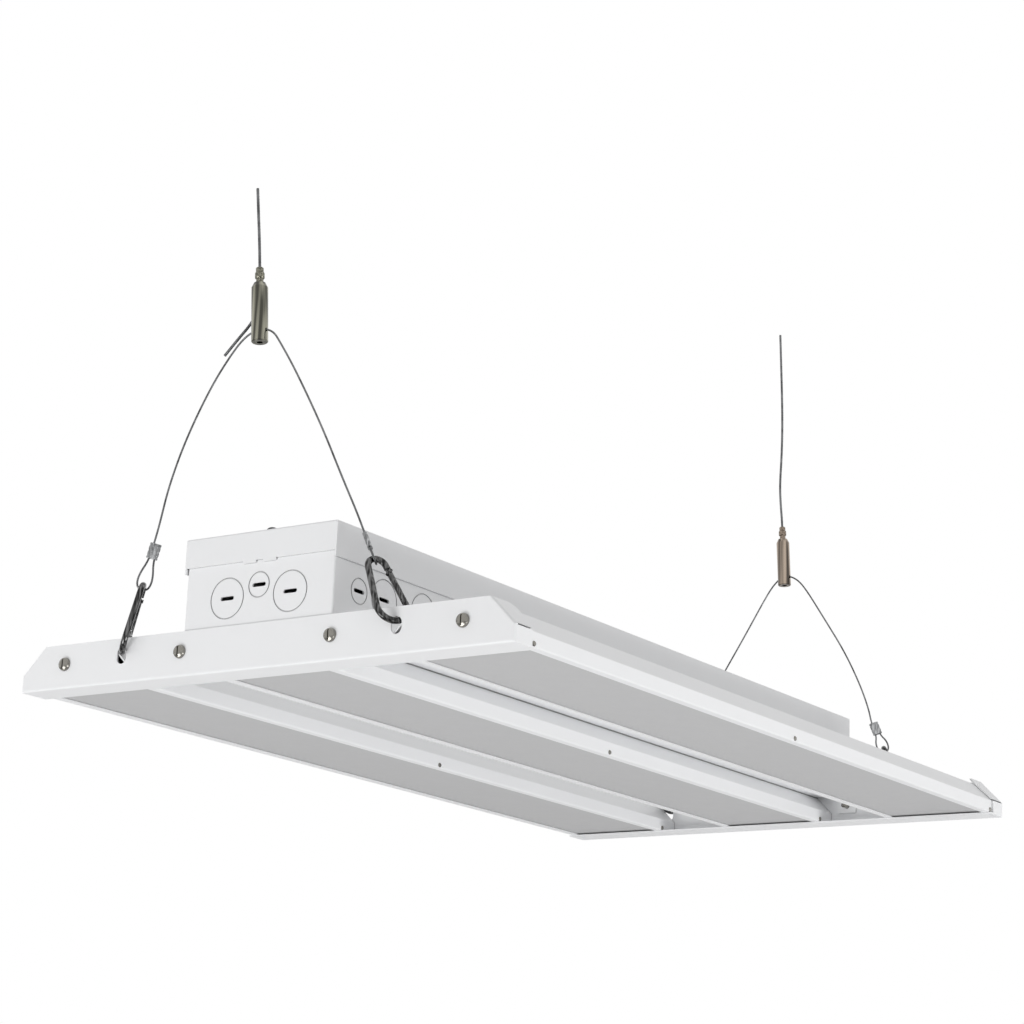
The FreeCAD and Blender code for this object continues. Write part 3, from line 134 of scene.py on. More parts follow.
class HangerSettings(bpy.types.PropertyGroup):
    """Sizes and finish of the wire hangers."""

    main_diameter: length("Main wire", "Diameter of the main wires", 0.0016)
    bridle_diameter: length("Bridle wire", "Diameter of the bridle wires", 0.0011)
    strands: IntProperty(name="Strands", description="Outer strands of a wire rope", default=6)
    main_lay: length("Main lay", "Length in which a main wire's strands go round once", 0.0105)
    bridle_lay: length("Bridle lay", "Length in which a bridle's strands go round once", 0.0075)
    groove: share("Groove", "Depth of the grooves between strands, as a share of the radius", 0.16)
    wire: colour("Wire", "Colour of the steel wires", (0.13, 0.132, 0.135))
    # The hooks' colour is kept near black as a painted reflection of dark surroundings, far below real zinc
    # plate.
    hook: colour("Hooks", "Colour of the zinc-plated hooks", (0.04, 0.04, 0.04))
    # The grippers' colours are darkened below real nickel plate as painted reflection of dark surroundings.
    gripper_near: colour("Near gripper", "Colour of the near gripper's nickel plate", (0.135, 0.132, 0.105))
    gripper_far: colour("Far gripper", "Colour of the far gripper's nickel plate", (0.17, 0.138, 0.11))
    # The ferrules' colour is darkened below real aluminium as painted reflection of dark surroundings.
    ferrule: colour("Ferrules", "Colour of the aluminium ferrules", (0.30, 0.305, 0.31))
    ferrule_barrel: length("Ferrule barrel", "Outside radius of a ferrule's barrels", 0.00195)
    ferrule_flat: share("Ferrule flatness", "Thickness of a pressed ferrule, as a share of its barrels", 0.65)
    ferrule_press: share("Ferrule press", "Depth of a ferrule's pressed bands, as a share of its radius",
                         0.07)
    loop_twist: FloatProperty(name="Loop twist", subtype="ANGLE", default=math.radians(35.0),
                              description="Near right loop and ferrule about the hook's length")
    spring_wire: length("Spring wire", "Radius of the spring wire inside a gripper", 0.0004)
    spring_turns: IntProperty(name="Spring turns", description="Turns of the spring inside a gripper",
                              default=4)
    ball: colour("Balls and springs", "Colour of the hardened steel inside a gripper", (0.5, 0.5, 0.52))


def settings(group):
    return getattr(bpy.context.scene, f"high_bay_{group}")


def joint(name):
    return next(each for each in frame["joints"] if each["name"] == name)


# ---------------------------------------------------------------- materials


class Finish:
    """A Principled material and short ways to add the nodes that vary it."""

    def __init__(self, name, base, roughness, metallic=0.0):
        self.material = bpy.data.materials.new(name)
        self.material.use_nodes = True
        self.nodes = self.material.node_tree.nodes
        self.links = self.material.node_tree.links
        self.shader = self.nodes["Principled BSDF"]
        self.set("Base Color", (*base, 1.0))
        self.set("Roughness", roughness)
        self.set("Metallic", metallic)
        self.base = base
        self.roughness = roughness
        self.places = self.nodes.new("ShaderNodeTexCoord")

    def set(self, socket, value):
        self.shader.inputs[socket].default_value = value

    def mapped(self, scale, turn):
        mapping = self.nodes.new("ShaderNodeMapping")
        mapping.inputs["Scale"].default_value = scale
        mapping.inputs["Rotation"].default_value = turn
        self.links.new(self.places.outputs["Object"], mapping.inputs["Vector"])
        return mapping.outputs["Vector"]

    def noise(self, size, detail=3.0, stretch=(1, 1, 1), turn=(0, 0, 0)):
        """Noise whose features are about size across."""
        texture = self.nodes.new("ShaderNodeTexNoise")
        texture.inputs["Scale"].default_value = 1.0
        texture.inputs["Detail"].default_value = detail
        scale = tuple(each / size for each in stretch)
        self.links.new(self.mapped(scale, turn), texture.inputs["Vector"])
        return texture.outputs["Fac"]

    def rings(self, size, turn=(0, 0, 0)):
        """Fine rings along Z after the turn, size apart."""
        texture = self.nodes.new("ShaderNodeTexWave")
        texture.bands_direction = "Z"
        texture.inputs["Scale"].default_value = 1.0
        texture.inputs["Distortion"].default_value = 0.6
        scale = 2 * math.pi / (20 * size)
        self.links.new(self.mapped((scale, scale, scale), turn), texture.inputs["Vector"])
        return texture.outputs["Fac"]

    def ramp(self, factor, low, high):
        """Carries a factor from 0..1 to low..high."""
        node = self.nodes.new("ShaderNodeMapRange")
        node.inputs["To Min"].default_value = low
        node.inputs["To Max"].default_value = high
        self.links.new(factor, node.inputs["Value"])
        return node.outputs["Result"]

    def sharp(self, factor):
        """Spreads the middle of a noise, where it mostly lies, over 0..1."""
        result = self.ramp(factor, 0.0, 1.0)
        result.node.inputs["From Min"].default_value = 0.36
        result.node.inputs["From Max"].default_value = 0.64
        return result

    def tint(self, factor, dark, light):
        """Varies the base colour between dark and light times itself."""
        mix = self.nodes.new("ShaderNodeMix")
        mix.data_type = "RGBA"
        mix.inputs["A"].default_value = (*[dark * each for each in self.base], 1)
        mix.inputs["B"].default_value = (*[min(1.0, light * each) for each in self.base], 1)
        self.links.new(factor, mix.inputs["Factor"])
        self.links.new(mix.outputs["Result"], self.shader.inputs["Base Color"])
        return self

    def paint_crevice_shade(self, reach, dark):
        """Paints shade into the base colour: darkens it where walls closer than reach would shade it, down to
        dark times itself.
        """
        near = self.nodes.new("ShaderNodeAmbientOcclusion")
        near.samples = 8
        near.inputs["Distance"].default_value = reach
        shade = self.ramp(near.outputs["AO"], dark, 1.0)
        shade.node.inputs["From Min"].default_value = 0.25
        shade.node.inputs["From Max"].default_value = 0.75
        mix = self.nodes.new("ShaderNodeMix")
        mix.data_type, mix.blend_type = "RGBA", "MULTIPLY"
        mix.inputs["Factor"].default_value = 1.0
        socket = self.shader.inputs["Base Color"]
        self.links.new(socket.links[0].from_socket, mix.inputs["A"])
        self.links.new(shade, mix.inputs["B"])
        self.links.new(mix.outputs["Result"], socket)
        return self

    def roughen(self, factor, swing):
        low, high = self.roughness - swing, self.roughness + swing
        self.links.new(self.ramp(factor, max(low, 0.02), high), self.shader.inputs["Roughness"])
        return self

    def bump(self, factor, strength, depth):
        node = self.nodes.new("ShaderNodeBump")
        node.inputs["Strength"].default_value = strength
        node.inputs["Distance"].default_value = depth
        self.links.new(factor, node.inputs["Height"])
        self.links.new(node.outputs["Normal"], self.shader.inputs["Normal"])
        return self

    def on(self, *names):
        """Gives the material to CAD nodes, in place of their own."""
        for name in names:
            mesh = frame["nodes"][name].data
            mesh.materials.clear()
            mesh.materials.append(self.material)
        return self


# ---------------------------------------------------------------- surfaces


def new_piece(name, points, faces, material, body):
    """A mesh object at the origin from an array of points and arrays of faces, riding on a body."""
    mesh = bpy.data.meshes.new(name)
    mesh.from_pydata(points.tolist(), [], [row for block in faces for row in block.tolist()])
    mesh.update()
    mesh.materials.append(material)
    piece = bpy.data.objects.new(name, mesh)
    bpy.context.collection.objects.link(piece)
    mesh.shade_smooth()
    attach(piece, body)
    return piece


def grid_faces(rows, columns):
    """Quads of a grid of rows by columns whose columns close on themselves."""
    row, column = np.meshgrid(np.arange(rows - 1), np.arange(columns), indexing="ij")
    beside = (column + 1) % columns
    corners = [row * columns + column, row * columns + beside, (row + 1) * columns + beside,
               (row + 1) * columns + column]
    return np.stack([each.ravel() for each in corners], axis=1)


def cap_faces(first, centre, columns, outward):
    """Triangles from a ring that starts at index first to its centre point."""
    column = np.arange(columns)
    beside = (column + 1) % columns
    pair = (beside, column) if outward else (column, beside)
    return np.stack([first + pair[0], first + pair[1], np.full(columns, centre)], axis=1)


def carried(section, start, end):
    """A closed section of (Y, Z) points carried straight along X from start to end, with its end faces."""
    count = len(section)
    points = np.concatenate([np.column_stack([np.full(count, x), section]) for x in (start, end)])
    ends = [np.arange(count)[None, ::-1], np.arange(count, 2 * count)[None, :]]
    return points, [grid_faces(2, count), *ends]


def turned(profile, centre, around=40):
    """A profile of (radius, height) points, from pole to pole upwards, turned round Z over a centre: each
    ring is centre + radius (cos v, sin v, 0) + height up."""
    v = np.linspace(0.0, 2 * np.pi, around, endpoint=False)
    radius, height = profile[1:-1].T
    rings = np.stack([radius[:, None] * np.cos(v), radius[:, None] * np.sin(v),
                      np.broadcast_to(height[:, None], (len(radius), around))], axis=2)
    poles = np.array([[0.0, 0.0, profile[0, 1]], [0.0, 0.0, profile[-1, 1]]])
    points = np.concatenate([rings.reshape(-1, 3), poles]) + np.asarray(centre)
    last, pole = (len(radius) - 1) * around, len(radius) * around
    return points, [grid_faces(len(radius), around), cap_faces(0, pole, around, True),
                    cap_faces(last, pole + 1, around, False)]


def joined(parts):
    """Several (points, faces) as one."""
    starts = np.cumsum([0] + [len(points) for points, _ in parts])
    return (np.concatenate([points for points, _ in parts]),
            [block + start for (_, faces), start in zip(parts, starts) for block in faces])


def spline_line(points, resolution=16):
    """The line of a quadratic NURBS spline through its route's points, as an array."""
    curve = bpy.data.curves.new("route", "CURVE")
    curve.dimensions = "3D"
    curve.resolution_u = resolution
    spline = curve.splines.new("NURBS")
    spline.points.add(len(points) - 1)
    spline.points.foreach_set("co", np.column_stack([points, np.ones(len(points))]).ravel())
    spline.order_u = 3
    spline.use_endpoint_u = True
    holder = bpy.data.objects.new("route", curve)
    bpy.context.collection.objects.link(holder)
    bpy.context.view_layer.update()
    seen = holder.evaluated_get(bpy.context.evaluated_depsgraph_get())
    mesh = bpy.data.meshes.new_from_object(seen)
    line = np.empty(len(mesh.vertices) * 3)
    mesh.vertices.foreach_get("co", line)
    bpy.data.objects.remove(holder)
    bpy.data.curves.remove(curve)
    bpy.data.meshes.remove(mesh)
    return line.reshape(-1, 3)


def rope(name, line, diameter, lay, strands, groove, material, body, around=36, steps_in_lay=18):
    """A wire rope along a line. At arc length s and angle v its radius is
    R (1 - g + g |cos(n (v - 2 pi s / lay) / 2)|), n strands with grooves g deep that go round once
    in each lay; the ring at s is spanned by the side nearest to +X and its normal."""
    steps = np.linalg.norm(np.diff(line, axis=0), axis=1)
    keep = np.concatenate([[True], steps > 1e-7])
    line = line[keep]
    reach = np.concatenate([[0.0], np.cumsum(np.linalg.norm(np.diff(line, axis=0), axis=1))])
    count = int(reach[-1] / lay * steps_in_lay) + 2
    s = np.linspace(0.0, reach[-1], count)
    middle = np.column_stack([np.interp(s, reach, line[:, axis]) for axis in range(3)])
    tangent = np.gradient(middle, s, axis=0)
    tangent /= np.linalg.norm(tangent, axis=1, keepdims=True)
    side = np.array([1.0, 0.0, 0.0]) - tangent[:, :1] * tangent
    side /= np.linalg.norm(side, axis=1, keepdims=True)
    normal = np.cross(tangent, side)
    v = np.linspace(0.0, 2 * np.pi, around, endpoint=False)
    phase = strands * (v[None, :] - 2 * np.pi * s[:, None] / lay) / 2
    radius = diameter / 2 * (1 - groove + groove * np.abs(np.cos(phase)))
    rings = (middle[:, None, :] + radius[..., None] * (np.cos(v)[None, :, None] * side[:, None, :]
                                                       + np.sin(v)[None, :, None] * normal[:, None, :]))
    points = np.concatenate([rings.reshape(-1, 3), middle[:1], middle[-1:]])
    last = (count - 1) * around
    faces = [grid_faces(count, around), cap_faces(0, count * around, around, True),
             cap_faces(last, count * around + 1, around, False)]
    return new_piece(name, points, faces, material, body), middle


# ---------------------------------------------------------------- the hangers' routes

# Main wires from the tail to the ceiling end, metres: along X from the end plate's middle, across, up.
MAIN_ROUTES = {
    "near": [(0, 0.0334, 0.1725), (0, 0.0246, 0.1808), (0, 0.0166, 0.1876), (0, 0.0115, 0.1963),
             (0, 0.01196, 0.2020), (0, 0.01367, 0.2232), (0, 0.0152, 0.2375), (0, 0.0169, 0.2512),
             (0, 0.0185, 0.2648)],
    "far": [(0.0094, 0.0082, 0.1746), (0.0054, 0.0056, 0.1822), (0, 0.00212, 0.1906), (0, 0.00244, 0.1963),
            (0, 0.00362, 0.2175), (0, 0.0049, 0.2300), (0, 0.0057, 0.2440), (0, 0.0045, 0.2660),
            (0, 0.0043, 0.2920), (0, 0.0054, 0.3220), (0, 0.0069, 0.3557)],
}
# Bridle legs from the ferrule up to the gripper, metres: across, up.
BRIDLE_LEGS = {
    ("near", "left"): [(0.0702, 0.0845), (0.0658, 0.1045), (0.0562, 0.1295), (0.0416, 0.1560),
                       (0.0290, 0.1725), (0.0200, 0.1812)],
    ("near", "right"): [(-0.0606, 0.0760), (-0.0505, 0.0945), (-0.0355, 0.1235), (-0.0160, 0.1565),
                        (-0.0046, 0.1735), (0.0015, 0.1818)],
    ("far", "left"): [(0.0656, 0.0800), (0.0578, 0.0970), (0.0460, 0.1155), (0.0305, 0.1395),
                      (0.0175, 0.1605), (0.0100, 0.1715)],
    ("far", "right"): [(-0.0639, 0.0790), (-0.0572, 0.0965), (-0.0455, 0.1200), (-0.0298, 0.1445),
                       (-0.0158, 0.1663), (-0.0082, 0.1748)],
}
BRIDLE_CROSSING = {"near": (0.0106, 0.1841), "far": (0.0015, 0.1783)}
# Heights of the ferrules above the foot of their hook, metres.
FERRULE_FOOT = {("near", "left"): 0.0510, ("near", "right"): 0.0432, ("far", "left"): 0.0480,
                ("far", "right"): 0.0476}
FERRULE_LENGTH, FERRULE_LANE = 0.0085, 0.00115
# A bridle's loop beside and above the middle of the hook's narrow bend, and how far its wire goes past
# the ferrule: the cut end stays inside its head, the leg leaves over it, both come out at its foot.
LOOP_SHOULDER, LOOP_FLANK, LOOP_FOOT = (0.0039, 0.0046), (0.0034, -0.0014), -0.0031
CUT_END, LEG_OUT, FOOT_OUT = -0.0008, 0.0006, -0.0006
# A hook's gate pivot and the middle of its narrow bend above its foot: across, up.
HOOK_PIVOT = (0.005560, 0.028295)
HOOK_TOP = 0.0366
PLATE_MIDDLE = (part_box("end_plate_far")[1][0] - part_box("end_plate_near")[0][0]) / 2 - 0.0005


def plate_middle(end):
    return PLATE_MIDDLE if end == "far" else -PLATE_MIDDLE


class Hook:
    """A snap hook's own directions, worked out from its gate's hinge."""

    def __init__(self, end, side):
        hinge = joint(f"gate_hinge_{end}_{side}")
        self.through = np.array(hinge["axis"], dtype=float)
        self.through /= np.linalg.norm(self.through)
        up = np.cross([1.0, 0.0, 0.0], self.through)
        self.up = up / np.linalg.norm(up) * (1 if up[2] > 0 else -1)
        self.across = np.cross(self.through, self.up)
        self.foot = np.array(hinge["pos_m"]) - self.across * HOOK_PIVOT[0] - self.up * HOOK_PIVOT[1]
        twist = settings("hanger").loop_twist if (end, side) == ("near", "right") else 0.0
        self.lane = self.through * math.cos(twist) + self.across * math.sin(twist)
        if (end, side) == ("near", "left"):
            self.lane = -self.lane  # this bridle's leg leaves its ferrule by the other barrel

    def spot(self, through, up):
        return self.foot + self.lane * through + self.up * up


def loop_route(end, side):
    """A bridle's end: from its cut end in the ferrule round the hook's narrow bend and back up."""
    hook, foot = Hook(end, side), FERRULE_FOOT[end, side]
    head = foot + FERRULE_LENGTH
    out = [(FERRULE_LANE, head + CUT_END), (FERRULE_LANE, foot + FOOT_OUT),
           (LOOP_SHOULDER[0], HOOK_TOP + LOOP_SHOULDER[1]), (LOOP_FLANK[0], HOOK_TOP + LOOP_FLANK[1]),
           (0.0, HOOK_TOP + LOOP_FOOT)]
    back = [(-through, up) for through, up in reversed(out[1:-1])] + [(-FERRULE_LANE, head + LEG_OUT)]
    return [hook.spot(through, up) for through, up in out + back]


def bridle_route(end):
    plane = plate_middle(end)
    halves = [loop_route(end, side) + [(plane, *spot) for spot in BRIDLE_LEGS[end, side]] for side in SIDES]
    return np.array(halves[0] + [(plane, *BRIDLE_CROSSING[end])] + halves[1][::-1])


def main_route(end):
    return np.array([(plate_middle(end) + out, across, up) for out, across, up in MAIN_ROUTES[end]])


def ferrule_shape(end, side, barrel, thickness, press):
    """A double-barrel sleeve. At angle v its radius is the farther of two circles, a = lane:
    a |cos v| + sqrt(R^2 - a^2 sin^2 v), flattened across, pressed in by three bands and rounded at its
    ends."""
    hook, foot = Hook(end, side), FERRULE_FOOT[end, side]
    v = np.linspace(0.0, 2 * np.pi, 56, endpoint=False)
    outline = FERRULE_LANE * np.abs(np.cos(v)) + np.sqrt(barrel ** 2 - (FERRULE_LANE * np.sin(v)) ** 2)
    share_up = np.concatenate([[0.0, 0.015], np.linspace(0.045, 0.955, 40), [0.985, 1.0]])
    ends = np.clip(np.minimum(share_up, 1 - share_up) / 0.045, 0, 1)
    bands = 1 - press * np.sin(3 * np.pi * share_up) ** 8
    scale = bands * (0.88 + 0.12 * np.sqrt(1 - (1 - ends) ** 2))
    radius = scale[:, None] * outline
    flat = np.cross(hook.up, hook.lane) * thickness
    middle = hook.foot + np.outer(foot + FERRULE_LENGTH * share_up, hook.up)
    rings = middle[:, None] + radius[..., None] * (np.cos(v)[:, None] * hook.lane + np.sin(v)[:, None] * flat)
    points = np.concatenate([rings.reshape(-1, 3), middle[:1], middle[-1:]])
    last, pole = (len(share_up) - 1) * len(v), len(share_up) * len(v)
    return points, [grid_faces(len(share_up), len(v)), cap_faces(0, pole, len(v), True),
                    cap_faces(last, pole + 1, len(v), False)]


# ---------------------------------------------------------------- operators

# Where each lamp stands, what it points at and its width and height, metres.
KEY_LAMP = ((-1.4, 0.35, -1.0), (-0.1, 0.0, 0.05), (1.1, 0.9))
SIDE_LAMP = ((0.1, -1.4, -1.0), (0.05, 0.0, 0.0), (1.6, 0.8))


class HIGHBAY_OT_stage(bpy.types.Operator):
    """Sets up the camera, the pale floor, the sky and two soft lamps"""

    bl_idname = "highbay.stage"
    bl_label = "Stage"

    def execute(self, context):
        s = settings("stage")
        self.camera(context, s)
        self.floor(s)
        self.sky(context, s)
        self.lamp("key", *KEY_LAMP, s.key_power)
        self.lamp("side", *SIDE_LAMP, s.side_power)
        return {"FINISHED"}

    def camera(self, context, s):
        """The camera looks along (cos h cos c, sin h cos c, sin c), rolled about that line."""
        heading, climb, roll = s.heading, s.climb, s.roll
        ahead = Vector((math.cos(heading) * math.cos(climb), math.sin(heading) * math.cos(climb),
                        math.sin(climb)))
        level = Vector((math.sin(heading), -math.cos(heading), 0))
        upright = level.cross(ahead)
        right = math.cos(roll) * level + math.sin(roll) * upright
        up = math.cos(roll) * upright - math.sin(roll) * level
        data = bpy.data.cameras.new("camera")
        data.lens, data.sensor_width = s.lens, 36.0
        data.clip_start, data.clip_end = 0.05, 60.0
        camera = bpy.data.objects.new("camera", data)
        axes = Matrix((right, up, -ahead)).transposed().to_4x4()
        camera.matrix_world = Matrix.Translation(s.eye) @ axes
        context.collection.objects.link(camera)
        context.scene.camera = camera

    def floor(self, s):
        half, z = s.floor_size / 2, s.floor_height
        corners = np.array([(-half, -half, z), (half, -half, z), (half, half, z), (-half, half, z)])
        mesh = bpy.data.meshes.new("floor")
        mesh.from_pydata(corners.tolist(), [], [(0, 1, 2, 3)])
        floor = bpy.data.objects.new("floor", mesh)
        bpy.context.collection.objects.link(floor)
        finish = Finish("floor", s.floor_colour, 0.7)
        finish.tint(finish.noise(0.6), 0.99, 1.0)
        mesh.materials.append(finish.material)

    def sky(self, context, s):
        """Light goes from sky_low at the horizon to sky_high overhead; the eye, metal and glass see white."""
        world = bpy.data.worlds.new("sky")
        world.use_nodes = True
        nodes, links = world.node_tree.nodes, world.node_tree.links
        nodes.clear()
        places = nodes.new("ShaderNodeTexCoord")
        parts = nodes.new("ShaderNodeSeparateXYZ")
        fall = nodes.new("ShaderNodeMapRange")
        fall.inputs["From Min"].default_value, fall.inputs["From Max"].default_value = 0.0, 1.0
        fall.inputs["To Min"].default_value, fall.inputs["To Max"].default_value = s.sky_low, s.sky_high
        path = nodes.new("ShaderNodeLightPath")
        seen, plain = nodes.new("ShaderNodeMath"), nodes.new("ShaderNodeMath")
        seen.operation = plain.operation = "MAXIMUM"
        blend = nodes.new("ShaderNodeMix")
        shader = nodes.new("ShaderNodeBackground")
        out = nodes.new("ShaderNodeOutputWorld")
        shader.inputs["Color"].default_value = (1, 1, 1, 1)
        links.new(places.outputs["Generated"], parts.inputs["Vector"])
        links.new(parts.outputs["Z"], fall.inputs["Value"])
        links.new(path.outputs["Is Camera Ray"], seen.inputs[0])
        links.new(path.outputs["Is Glossy Ray"], seen.inputs[1])
        links.new(seen.outputs["Value"], plain.inputs[0])
        links.new(path.outputs["Is Transmission Ray"], plain.inputs[1])
        links.new(plain.outputs["Value"], blend.inputs["Factor"])
        links.new(fall.outputs["Result"], blend.inputs["A"])
        blend.inputs["B"].default_value = 1.0
        links.new(blend.outputs["Result"], shader.inputs["Strength"])
        links.new(shader.outputs["Background"], out.inputs["Surface"])
        context.scene.world = world
        context.scene.view_settings.view_transform = "Standard"

    def lamp(self, name, place, target, size, power):
        data = bpy.data.lights.new(name, "AREA")
        data.shape, data.size, data.size_y, data.energy = "RECTANGLE", *size, power
        lamp = bpy.data.objects.new(name, data)
        lamp.location = place
        lamp.rotation_mode = "QUATERNION"
        lamp.rotation_quaternion = (Vector(target) - Vector(place)).to_track_quat("-Z", "Y")
        lamp.visible_camera = False
        bpy.context.collection.objects.link(lamp)


class HIGHBAY_OT_ferrules(bpy.types.Operator):
    """Makes the pressed double-barrel ferrules at the ends of the bridles"""

    bl_idname = "highbay.ferrules"
    bl_label = "Ferrules"

    def execute(self, context):
        s = settings("hanger")
        finish = Finish("aluminium", s.ferrule, 0.36, 1.0)
        # Painted reflections: lengthwise light and dark streaks stand in for reflected bands on the sleeves.
        finish.tint(finish.sharp(finish.noise(0.0011, stretch=(1, 1, 0.08))), 0.5, 1.6)
        finish.roughen(finish.noise(0.001), 0.08)
        finish.bump(finish.noise(0.0007, stretch=(1, 1, 0.3)), 0.3, 0.0001)
        for end in ENDS:
            size = s.ferrule_barrel, s.ferrule_flat, s.ferrule_press
            shape = joined([ferrule_shape(end, side, *size) for side in SIDES])
            piece = new_piece(f"pressed_ferrules_{end}", *shape, finish.material, "fixture")
            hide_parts(f"ferrules_{end}")
        return {"FINISHED"}


class HIGHBAY_OT_springs(bpy.types.Operator):
    """Winds the springs inside the grippers, along the release nipples' slide"""

    bl_idname = "highbay.springs"
    bl_label = "Gripper springs"

    def execute(self, context):
        s = settings("hanger")
        finish = Finish("spring steel", s.ball, 0.25, 1.0)
        finish.tint(finish.noise(0.001), 0.8, 1.2)
        for end in ENDS:
            slide = joint(f"release_slide_{end}")
            up = -np.array(slide["axis"], dtype=float)
            low, high = (np.array(corner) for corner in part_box(f"clamping_spring_{end}"))
            radius = (high[0] - low[0]) / 2
            height = (high[2] - low[2] - 2 * radius * abs(up[1])) / up[2]
            middle = (low + high) / 2
            shape = self.coil(middle, up, radius, height, s.spring_wire, s.spring_turns)
            spring = new_piece(f"coil_spring_{end}", *shape, finish.material, "fixture")
            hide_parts(f"clamping_spring_{end}")
            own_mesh(spring)
        return {"FINISHED"}

    def coil(self, middle, up, radius, height, wire, turns, along=240, around=14):
        """A round wire along a helix: at t and v the point is middle + up (t - 1/2) (height - 2 wire)
        + (radius - wire) out(2 pi turns t) + wire (cos v up + sin v out)."""
        t, v = np.linspace(0.0, 1.0, along), np.linspace(0.0, 2 * np.pi, around, endpoint=False)
        side = np.array([1.0, 0.0, 0.0])
        turn = 2 * np.pi * turns * t
        out = np.outer(np.cos(turn), side) + np.outer(np.sin(turn), np.cross(up, side))
        line = middle + np.outer((t - 0.5) * (height - 2 * wire), up) + (radius - wire) * out
        rings = line[:, None] + wire * (np.cos(v)[:, None] * up + np.sin(v)[:, None] * out[:, None])
        points = np.concatenate([rings.reshape(-1, 3), line[:1], line[-1:]])
        pole = along * around
        return points, [grid_faces(along, around), cap_faces(0, pole, around, True),
                        cap_faces(pole - around, pole + 1, around, False)]


class HIGHBAY_OT_wires(bpy.types.Operator):
    """Lays the stranded main and bridle wires along their routes, in place of the plain tubes"""

    bl_idname = "highbay.wires"
    bl_label = "Wire ropes"

    def execute(self, context):
        s = settings("hanger")
        finish = Finish("steel wire", s.wire, 0.34, 1.0)
        finish.tint(finish.sharp(finish.noise(0.006)), 0.7, 1.6).roughen(finish.noise(0.004), 0.08)
        for end in ENDS:
            line = spline_line(bridle_route(end))
            bridle, path = rope(f"bridle_rope_{end}", line, s.bridle_diameter, s.bridle_lay, s.strands,
                                s.groove, finish.material, "fixture")
            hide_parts(f"bridle_wire_{end}")
            held = [f"{kind}_{end}"
                    for kind in ("gate_rivets", "gripper_body", "release_nipple", "clamping_balls")]
            held += [f"{kind}_{end}_{side}" for kind in ("snap_hook", "hook_gate") for side in SIDES]
            held = [frame["nodes"][name] for name in held]
            held += [bpy.data.objects[f"{kind}_{end}"] for kind in ("pressed_ferrules", "coil_spring")]
            line = spline_line(main_route(end))
            main_rope, path = rope(f"main_rope_{end}", line, s.main_diameter, s.main_lay, s.strands, s.groove,
                                   finish.material, "fixture")
            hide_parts(f"main_wire_{end}")
        return {"FINISHED"}


class HIGHBAY_OT_hanger_metal(bpy.types.Operator):
    """Finishes the hooks, gates and grippers as plated metal, with painted reflections darkening and
    streaking their colour
    """

    bl_idname = "highbay.hanger_metal"
    bl_label = "Hooks and grippers"

    def execute(self, context):
        s = settings("hanger")
        zinc = Finish("zinc plate", s.hook, 0.17, 1.0)
        # Zinc plate with painted reflections: a dark base and strong lengthwise light and dark streaks stand
        # in for reflected surroundings.
        zinc.tint(zinc.sharp(zinc.noise(0.0011, stretch=(1, 1, 0.1), detail=1.0)), 0.2, 3.8)
        zinc.roughen(zinc.noise(0.002), 0.05).bump(zinc.noise(0.0012, stretch=(1, 1, 0.3)), 0.25, 0.0001)
        zinc.set("Coat Weight", 0.35)
        zinc.set("Coat Roughness", 0.08)
        zinc.on("gate_rivets_near", "gate_rivets_far")
        zinc.on(*[f"{kind}_{end}_{side}" for kind in ("snap_hook", "hook_gate")
                  for end in ENDS for side in SIDES])
        for end in ENDS:
            slide = joint(f"release_slide_{end}")
            lean = math.atan2(-slide["axis"][1], -slide["axis"][2])
            base = s.gripper_near if end == "near" else s.gripper_far
            nickel = Finish(f"nickel plate {end}", base, 0.2, 1.0)
            # Painted reflections: long light and dark streaks along the gripper's length stand in for
            # reflected bands on the plated body.
            painted_reflection_streaks = nickel.noise(0.0021, stretch=(1, 1, 0.03), turn=(lean, 0, 0), detail=0.5)
            nickel.tint(nickel.sharp(painted_reflection_streaks), 0.4, 2.6)
            nickel.roughen(nickel.noise(0.002, stretch=(0.2, 0.2, 1), turn=(lean, 0, 0)), 0.05)
            nickel.bump(nickel.rings(0.00035, turn=(lean, 0, 0)), 0.05, 0.00003)
            nickel.set("Coat Weight", 0.4)
            nickel.on(f"gripper_body_{end}")
            knurl = Finish(f"knurled nickel {end}", base, 0.28, 1.0)
            knurl.tint(knurl.sharp(knurl.noise(0.0006)), 0.5, 2.2)
            knurl.bump(knurl.noise(0.0005, detail=1.0), 0.6, 0.0002)
            knurl.on(f"release_nipple_{end}")
        hard = Finish("hardened steel", s.ball, 0.15, 1.0)
        hard.roughen(hard.noise(0.001), 0.05)
        hard.on("clamping_balls_near", "clamping_balls_far")
        return {"FINISHED"}


class HIGHBAY_OT_sheet(bpy.types.Operator):
    """Finishes the folded sheet pieces in white powder coat, with painted shade darkening its seams and
    grooves
    """

    bl_idname = "highbay.sheet"
    bl_label = "Coated sheet"

    def execute(self, context):
        s = settings("fixture")
        coat = Finish("white powder coat", s.coating, s.coating_roughness)
        coat.tint(coat.noise(0.05), 0.985, 1.01).roughen(coat.noise(0.02), 0.05)
        # The coat's colour is darkened near seams, grooves and knock-out rings as painted shade.
        coat.paint_crevice_shade(s.seam, s.painted_seam_shade).bump(coat.noise(s.peel, detail=2.0), 0.08, 0.0002)
        coat.set("Coat Weight", 0.08)
        coat.on("end_plate_near", "end_plate_far", "driver_box", "driver_box_lid",
                *[f"bar_tray_{bar}" for bar in BARS])
        return {"FINISHED"}


